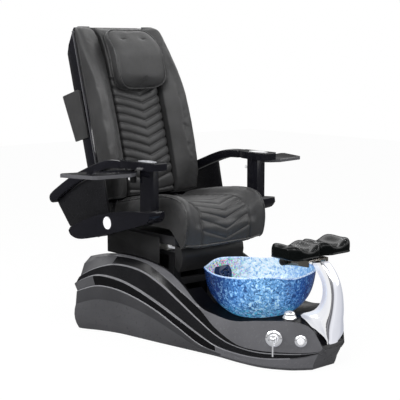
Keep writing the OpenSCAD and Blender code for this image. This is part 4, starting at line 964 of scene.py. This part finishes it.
def run_along(points, places):
    """How far along the 2D curve each place is, its distance to it, and the curve's length."""
    line = curve(points, np.linspace(0, 1, 500))
    start, step = line[:-1], np.diff(line, axis=0)
    size = np.linalg.norm(step, axis=1)
    before = np.concatenate([[0], np.cumsum(size)])
    best = np.full(len(places), 1e9)
    run = np.zeros(len(places))
    for k in range(len(start)):
        rel = places - start[k]
        along = np.clip((rel @ step[k]) / size[k] ** 2, 0, 1)
        d = ((rel - along[:, None] * step[k]) ** 2).sum(1)
        closer = d < best
        best[closer] = d[closer]
        run[closer] = before[k] + along[closer] * size[k]
    return run, np.sqrt(best), before[-1]


SQUARE_END = 70


def from_chevron(run, x, length, half, rise):
    """Place along a quilted face, with the chevron's rise taken out. Both ends stay square."""
    up = np.minimum(abs(x), half) * rise
    first = run / (1 + up / SQUARE_END)
    last = (run - up * length / SQUARE_END) / (1 - up / SQUARE_END)
    return np.where(first < SQUARE_END, first, np.where(last > length - SQUARE_END, last, run - up))


def groove(distance, width):
    """A sewn line: deepest at 0, gone at about twice the width."""
    return np.exp(-np.abs(distance / width) ** 1.5)


def sew(obj, front, half, rise, first, pitch, deep, wide, crown, reach, count=13):
    """Draws chevron channels and two side seams into a quilted face; sizes are in mm."""
    co = vectors_of(obj) / MM
    x = co[:, 0]
    run, away, length = run_along(front, co[:, 1:3])
    s = from_chevron(run, x, length, half, rise)
    nearest = np.abs((s - first + pitch / 2) % pitch - pitch / 2)
    inside = ease((half - 1 - np.abs(x)) / 7) * (away < reach)
    rows = ease((s - first + pitch * 0.5) / 12) * ease((first + (count - 0.5) * pitch - s) / 12)
    cut = -deep * groove(nearest, wide) + crown * np.sin(np.minimum(1, nearest / (pitch / 2)) * math.pi / 2)
    seam = -6.0 * groove(np.abs(np.abs(x) - half), 4.5) * (away < reach)
    move = (cut * inside * rows + seam) * ease((run - 4) / 14)
    move_points(obj, (co + vectors_of(obj, "normal") * move[:, None]) * MM)


def covered(obj, node):
    """Smooth vinyl over a finished cushion, which stands for its node."""
    obj.data.polygons.foreach_set("use_smooth", [True] * len(obj.data.polygons))
    return stand_in(obj, node, vinyl)


# %% [markdown]
# ## The seat cushion
# The middle panel falls over the front edge between two raised bolsters.
# Its chevron channels are sewn 46 mm apart, and the strip between two
# channels crowns by itself. Piping runs round the side panels.
# %% Seat cushion: form and filling
seat_front, seat_half, panel_half = -110, 252, 147
seat_mid = [[seat_front + 42, 430], [seat_front + 10, 446], [seat_front - 2, 520], [seat_front + 6, 588],
            [seat_front + 40, 624], [10, 634], [140, 622], [280, 608], [422, 598]]
seat_side = [[seat_front + 42, 440], [seat_front + 12, 462], [seat_front - 4, 540], [seat_front + 2, 612],
             [seat_front + 44, 658], [30, 672], [150, 662], [290, 640], [422, 612]]
seat_under = [[422, 598], [430, 560], [420, 516], [240, 508], [60, 508], [2, 506], [-34, 476],
              [seat_front + 42, 430]]


def tuck(x, half, radius):
    """How far a rounded side draws in at x, for a form of that half-width."""
    return radius * round_off(max(0.0, abs(x) - (half - radius)) / radius)


def across(half, radius, count):
    """Places across a form, closest together where its sides round off."""
    edge = [half - radius * (1 - math.sin(a)) for a in np.linspace(0, math.pi / 2, 9)]
    right = list(np.linspace(0, half - radius, count))[:-1] + edge
    return [-x for x in right[:0:-1]] + right


def ring_at(x, outline):
    """An outline of (y, z) in mm, upright at x, as a ring in metres."""
    return np.column_stack([np.full(len(outline), x), outline]) * MM


rings = []
for x in across(seat_half - 1, 22, 16):
    t, u = np.linspace(0, 1, 120), np.linspace(0.02, 0.98, 34)
    share = float(ease((abs(x) - panel_half) / (seat_half - 40 - panel_half)))
    place = curve(seat_mid, t) * (1 - share) + curve(seat_side, t) * share
    side = left_of(seat_mid, t) * (1 - share) + left_of(seat_side, t) * share
    draw = tuck(x, seat_half, 22)
    lift = 8 * float(ease((abs(x) - panel_half) / (seat_half - panel_half))) * np.sin(math.pi * u)
    under = curve(seat_under, u) - left_of(seat_under, u) * draw * 0.8 + np.stack([0 * lift, lift], -1)
    rings.append(ring_at(x, np.concatenate([place - side * draw, under])))
seat = stuffed(ring_skin("seat_cushion_cover", rings), 0.0075, cap=0.009, shrink=0.004,
               hold=lambda p: ease((0.56 - p[:, 2]) / 0.04))
sew(seat, seat_mid, panel_half, rise=0.4, first=62, pitch=46, deep=4.6, wide=3.4, crown=2.6, reach=30)
covered(seat, "seat_cushion")
print("seat faces", len(seat.data.polygons))

# %% [markdown]
# ## Piping and stitches
# Piping is a thin covered cord sewn into a seam, and stitches repeat along
# it. Both follow a path, so both come from Geometry Nodes trees that cut
# the path into even steps, sweep it or dot it with stitches, and paint it.
# %% Geometry Nodes for piping and stitches


def path_tree(name, spacing, radius, *kinds):
    """A tree that runs a path, cut into even steps, through nodes of these kinds."""
    tree = bpy.data.node_groups.new(name, "GeometryNodeTree")
    tree.is_modifier = True
    for label, kind, value in (("Geometry", "Geometry", None), ("Spacing", "Float", spacing),
                               ("Radius", "Float", radius), ("Finish", "Material", None)):
        socket = tree.interface.new_socket(label, in_out="INPUT", socket_type="NodeSocket" + kind)
        if value is not None:
            socket.default_value = value
    tree.interface.new_socket("Geometry", in_out="OUTPUT", socket_type="NodeSocketGeometry")
    steps = [tree.nodes.new(kind) for kind in (
        "NodeGroupInput", "GeometryNodeResampleCurve", *kinds, "GeometryNodeRealizeInstances",
        "GeometryNodeSetMaterial", "NodeGroupOutput")]
    for start, end in zip(steps, steps[1:]):
        tree.links.new(next(s for s in start.outputs if s.type == "GEOMETRY"),
                       next(s for s in end.inputs if s.type == "GEOMETRY"))
    given = steps[0].outputs
    steps[1].mode = "LENGTH"
    tree.links.new(given["Spacing"], steps[1].inputs["Length"])
    tree.links.new(given["Finish"], steps[-2].inputs["Material"])
    return tree, given, steps[2]


piping_tree, given, sweep = path_tree("seam_piping", 0.006, 0.003, "GeometryNodeCurveToMesh",
                                      "GeometryNodeSetShadeSmooth")
round_cord = piping_tree.nodes.new("GeometryNodeCurvePrimitiveCircle")
round_cord.inputs["Resolution"].default_value = 8
sweep.inputs["Fill Caps"].default_value = True
wire(piping_tree, (given["Radius"], round_cord.inputs["Radius"]),
     (round_cord.outputs["Curve"], sweep.inputs["Profile Curve"]))

stitch_tree, given, dots = path_tree("seam_stitches", 0.006, 0.0006, "GeometryNodeInstanceOnPoints")
stitch = stitch_tree.nodes.new("GeometryNodeMeshCylinder")
stitch.inputs["Vertices"].default_value = 6
turn = stitch_tree.nodes.new("FunctionNodeAlignRotationToVector")
turn.axis = "Z"
tangent = stitch_tree.nodes.new("GeometryNodeInputTangent")
wire(stitch_tree, (math_node(stitch_tree, "MULTIPLY", given["Spacing"], 0.62), stitch.inputs["Depth"]),
     (given["Radius"], stitch.inputs["Radius"]), (stitch.outputs["Mesh"], dots.inputs["Instance"]),
     (tangent.outputs["Tangent"], turn.inputs["Vector"]), (turn.outputs["Rotation"], dots.inputs["Rotation"]))


def follow(name, path, tree, body, closed=False, **values):
    """Runs a tree along a path of points and keeps the mesh it makes."""
    data = bpy.data.curves.new(name + "_path", "CURVE")
    data.dimensions = "3D"
    spline = data.splines.new("POLY")
    spline.points.add(len(path) - 1)
    for point, place in zip(spline.points, path):
        point.co = (*place, 1)
    spline.use_cyclic_u = closed
    obj = show("path", data)
    maker = obj.modifiers.new(tree.name, "NODES")
    maker.node_group = tree
    for item in tree.interface.items_tree:
        if item.item_type == "SOCKET" and item.in_out == "INPUT" and item.name in values:
            maker[item.identifier] = values[item.name]
    made = keep_mesh(obj, name)
    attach(made, body)


def onto(obj, path, lift):
    """Puts each point of a path on the surface of a finished piece."""
    out = []
    for place in path:
        hit, point, normal, _ = obj.closest_point_on_mesh(Vector(place))
        out.append(tuple(point + normal * lift))
    return out


def side_seam(sign):
    """The seam round one side panel of the seat, from its front to its rear."""
    t = np.linspace(0.03, 0.99, 90)
    seam = curve(seat_side, t) - left_of(seat_side, t) * 4
    return list(map(tuple, ring_at(sign * (seat_half - 9), seam)))


front_edge = [(x * MM, (seat_front + 14) * MM, 0.452) for x in np.linspace(-232, 232, 40)]
seat_path = side_seam(-1)[::-1] + front_edge + side_seam(1)
follow("seat_piping", onto(seat, seat_path, 0.0014), piping_tree, "seat", Radius=0.0044, Finish=piping_highlit_vinyl)
for sign, label in ((-1, "right"), (1, "left")):
    path = ring_at(sign * (panel_half + 7), curve(seat_mid, np.linspace(0.08, 0.92, 140)))
    follow(f"seat_stitches_{label}", onto(seat, path, 0.0006), stitch_tree, "seat", Finish=thread)
print("seat piping points", len(seat_path))

# %% [markdown]
# ## The backrest cushions
# The backrest leans back, so its cushions are made upright in their own
# frame and then tilted. The middle pad is quilted low down, and the two
# bolsters stand proud of it on either side.
# %% Back pad
back_len, back_half, pad_half = 844, 262, 145
pad_front = [[8, -24], [-6, 6], [-13, 120], [-16, 300], [-15, 480], [-9, 650], [8, 768], [30, 812],
             [50, back_len - 14]]
pad_rear = [[50, back_len - 14], [60, 812], [60, 500], [60, 120], [58, 2], [40, -20], [8, -24]]

rings = []
for x in across(pad_half, 10, 14):
    t = np.linspace(0, 1, 130)
    place, side = curve(pad_front, t), left_of(pad_front, t)
    face = place - side * tuck(x, pad_half, 10)
    crown = 22 * (1 - (x / pad_half) ** 2)
    face[:, 0] -= crown * ease((place[:, 1] + 10) / 120) * ease((540 - place[:, 1]) / 110)
    rings.append(ring_at(x, np.concatenate([face, curve(pad_rear, np.linspace(0.03, 0.97, 60))])))
pad = stuffed(ring_skin("back_pad_cover", rings), 0.0065, cap=0.006, shrink=0.003,
              hold=lambda p: ease((p[:, 1] - 0.03) / 0.02))
sew(pad, pad_front, pad_half, rise=0.35, first=21, pitch=43, deep=5.5, wide=4.0, crown=3.4, reach=48)
pad.data.transform(lean)
covered(pad, "back_pad")
print("back pad faces", len(pad.data.polygons))

# %% Back bolsters
wing = [[-46, -26], [-88, 60], [-106, 160], [-112, 320], [-102, 470], [-74, 590], [-18, 730], [20, 806],
        [44, 834], [55, back_len]]


def bolster_section(t):
    """One level of the left bolster: its outline in x and depth, and its height."""
    front, z = curve(wing, t)
    seam = float(np.interp(z, [p[1] for p in pad_front], [p[0] for p in pad_front])) + 4
    deep = 61
    top = min(1.0, max(0.0, (z - 800) / 44.5))
    far = back_half - 42 * round_off(top)
    near = panel_half + 1 + 12 * top**3
    side = min(front + 30, deep - 1)
    outline = [[near, deep], [near, seam + 4], [near + 7, seam + (front - seam) * 0.05],
               [(near + far) / 2, seam + (front - seam) * 0.6], [far - 30, front + 2], [far - 13, front + 3],
               [far - 4, front + 12], [far - 1, side], [far, (side + deep) / 2], [far - 1, deep]]
    fine = curve([[a, min(b, deep)] for a, b in outline], np.linspace(0, 1, 60))
    return [(a * MM, min(b, deep) * MM, z * MM) for a, b in fine]


bolster = ring_skin("bolster_left_cover", [bolster_section(t) for t in np.linspace(0, 1, 70)])
bolster = stuffed(bolster, 0.0075, cap=0.008, shrink=0.004, hold=lambda p: np.maximum(
    ease((p[:, 1] - 0.035) / 0.02), ease((0.165 - p[:, 0]) / 0.012)))
other = bolster.data.copy()
other.transform(Matrix.Scale(-1, 4, (1, 0, 0)))
other.flip_normals()
for piece, node in ((bolster, "bolster_left"), (show("bolster_right_cover", other), "bolster_right")):
    piece.data.transform(lean)
    covered(piece, node)
print("bolster faces", len(bolster.data.polygons))

# %% [markdown]
# ## The head pillow
# A boxed pillow with a rounded outline. Piping runs round its face and
# round its back, and two small tucks pinch its face near the top. The
# pocket on the side of the back has a piped rim too.
# %% Head pillow
pillow_low, pillow_high, pillow_half, pillow_thick = 488, 806, 152, 82


def super_round(angle, power):
    c, s = np.cos(angle), np.sin(angle)
    return np.sign(c) * abs(c) ** power, np.sign(s) * abs(s) ** power


def pillow_outline(t):
    """Half-width, back, thickness and height of the pillow at share t of its height."""
    v = 2 * t - 1
    w = pillow_half * (1 - min(1.0, abs(v)) ** 5) ** 0.2
    rear = -20 + 24 * float(ease((t - 0.6) / 0.4))
    thick = pillow_thick * (1 - 0.5 * float(ease((t - 0.45) / 0.55))) * max(0.0, 1 - abs(v) ** 7) ** 0.5
    return w, rear, thick, pillow_low + (pillow_high - pillow_low) * t


rings = []
for i in range(61):
    w, rear, thick, z = pillow_outline(0.006 + 0.988 * (1 - math.cos(math.pi * i / 60)) / 2)
    sides, faces = super_round(circle(72), 0.3)[0], super_round(circle(72), 0.5)[1]
    rings.append(np.column_stack([w * sides, rear - thick / 2 + thick / 2 * faces, np.full(72, z)]) * MM)
pillow = stuffed(ring_skin("head_pillow_cover", rings), 0.0055, cap=0.005, shrink=0.003, pressure=5.0,
                 hold=lambda p: ease((p[:, 1] + 0.03) / 0.015) * (p[:, 2] < 0.7))
co = vectors_of(pillow) / MM
pinch = np.zeros(len(co))
tuck_side, tuck_height = 62, 742
for x in (-tuck_side, tuck_side):
    dx, dz = co[:, 0] - x, co[:, 2] - tuck_height
    pinch += 5.5 * np.exp(-(dx / 13) ** 2 - (dz / 4.5) ** 2) + 2.2 * np.exp(-(dx / 26) ** 2 - (dz / 18) ** 2)
pinch *= co[:, 1] < -30
move_points(pillow, (co - vectors_of(pillow, "normal") * pinch[:, None]) * MM)


def pillow_loop(depth, shrink):
    """A loop on the pillow at a share of its depth, in its own frame."""
    loop = []
    for c, s in zip(*super_round(circle(160), 0.42)):
        w, rear, thick, z = pillow_outline(0.5 + 0.5 * s * (1 - shrink))
        loop.append((c * (pillow_half - 4 - shrink * 40) * MM, (rear - thick * depth) * MM, z * MM))
    return onto(pillow, loop, 0.0012)


loops = {"pillow_face_piping": pillow_loop(0.86, 0.05), "pillow_back_piping": pillow_loop(0.2, 0.02)}
pillow.data.transform(lean)
covered(pillow, "head_pillow")
for name, loop in loops.items():
    tilted = [tuple(lean @ Vector(p)) for p in loop]
    follow(name, tilted, piping_tree, "back", closed=True, Radius=0.0036, Finish=piping_highlit_vinyl)
print("pillow faces", len(pillow.data.polygons))

pocket_x = -277
pocket_rim = [(pocket_x, y, 525) for y in np.linspace(78, 212, 30)]
pocket_rim += [(pocket_x + 7 * v, 213 - 33 * v, 522 - 228 * v) for v in np.linspace(0.02, 1, 50)]
pocket_rim = [tuple(lean @ (Vector(p) * MM)) for p in pocket_rim]
follow("pocket_piping", pocket_rim, piping_tree, "back", Radius=0.0028, Finish=piping_highlit_vinyl)

# %% [markdown]
# ## The footrest pad
# A moulded pad with two troughs for the feet and a dip between them. Its
# outline comes from the same rings as in the frame, made finer and
# subdivided, so that its gloss runs without facets.
# %% Footrest pad
rest_half, rest_under, rest_thick = 182, 472, 64
rest_front, rest_rear, lug_half = -704, -548, 58


def past(u, start):
    """0 up to the start, then rising to 1 at u = 1."""
    return max(0.0, (u - start) / (1 - start))


def rest_ring(x):
    u = abs(x) / rest_half
    trough = 13 * math.sin(math.radians(min(u * 200, 180))) ** 2
    rise = rest_thick * (0.9 + 0.1 * math.cos(u * 2 * math.pi)) - trough
    rise -= 14 * max(0.0, 1 - u * 5) ** 2 + 12 * past(u, 0.86) ** 2
    dip = 26 * max(0.0, 1 - u * 4) ** 1.5
    front = rest_front + dip + 30 * past(u, 0.75) ** 2
    rear = rest_rear - dip * 0.5 - 22 * past(u, 0.8) ** 2
    lift = 8 * past(u, 0.9) ** 2
    outline = [[front + 10, lift], [front, 12 + lift], [front, rise * 0.7], [front + 14, rise * 0.95],
               [front + 45, rise - 3], [(front + rear) / 2, rise - 2], [rear - 35, rise],
               [rear - 10, rise * 0.93], [rear, rise * 0.66], [rear, 10 + lift], [rear - 8, lift]]
    loop = outline[-2:] + outline + outline[:2]
    share = np.linspace(2 / (len(loop) - 1), (len(loop) - 2) / (len(loop) - 1), 49)[:-1]
    ring = ring_at(x, curve(loop, share) + (0, rest_under))
    centre = ring.mean(0)
    return centre + (ring - centre) * (1, *[1 - 0.16 * past(u, 0.9) ** 2.5] * 2)


ends = [rest_half * s for s in (1.0, 0.995, 0.98, 0.955, 0.92)]
places = [-x for x in ends] + list(np.linspace(-0.88, 0.88, 45) * rest_half) + ends[::-1]
rest = refined(ring_skin("footrest_pad_cover", [rest_ring(x) for x in places]))
lugs = merged("footrest_pad")
whole = bmesh.new()
whole.from_mesh(lugs.data)
middles = [(face, face.calc_center_median()) for face in whole.faces]
plain_pad = [face for face, at in middles if at.z > (rest_under + 6) * MM or abs(at.x) > lug_half * MM]
bmesh.ops.delete(whole, geom=plain_pad, context="FACES")
whole.from_mesh(rest.data)
whole.to_mesh(rest.data)
whole.free()
bpy.data.objects.remove(lugs)
smooth_shade(rest, 50)
stand_in(rest, "footrest_pad", rest_black)
print("footrest faces", len(rest.data.polygons))

# %% [markdown]
# ## Inlays on the armrests
# Each armrest has an oval inlay in its top, a shallow lens with a rounded
# edge. One is silver with white painted glints, the other is plain white.
# %% Armrest inlays
arm_top, inlay_x, inlay_y, inlay_half_x, inlay_half_y = 831, 341, 40, 28, 59


def inlay(name, x, finish, body):
    across_x, across_y = inlay_half_x * np.cos(circle(64)), inlay_half_y * np.sin(circle(64))
    dome = ((0.02, 5.4), (0.35, 5.0), (0.7, 3.6), (0.9, 2.0), (0.97, 1.0), (1.0, 0.0), (1.0, -1.0))
    piece = ring_skin(name, [
        np.column_stack([x + r * across_x, inlay_y + r * across_y, np.full(64, arm_top + z)]) * MM
        for r, z in dome])
    smooth_shade(piece, 50)
    piece.data.materials.append(finish)
    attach(piece, body)


inlay("arm_inlay_right", -inlay_x, inlay_silver, "arm_right")
inlay("arm_inlay_left", inlay_x, white_gloss, "arm_left")
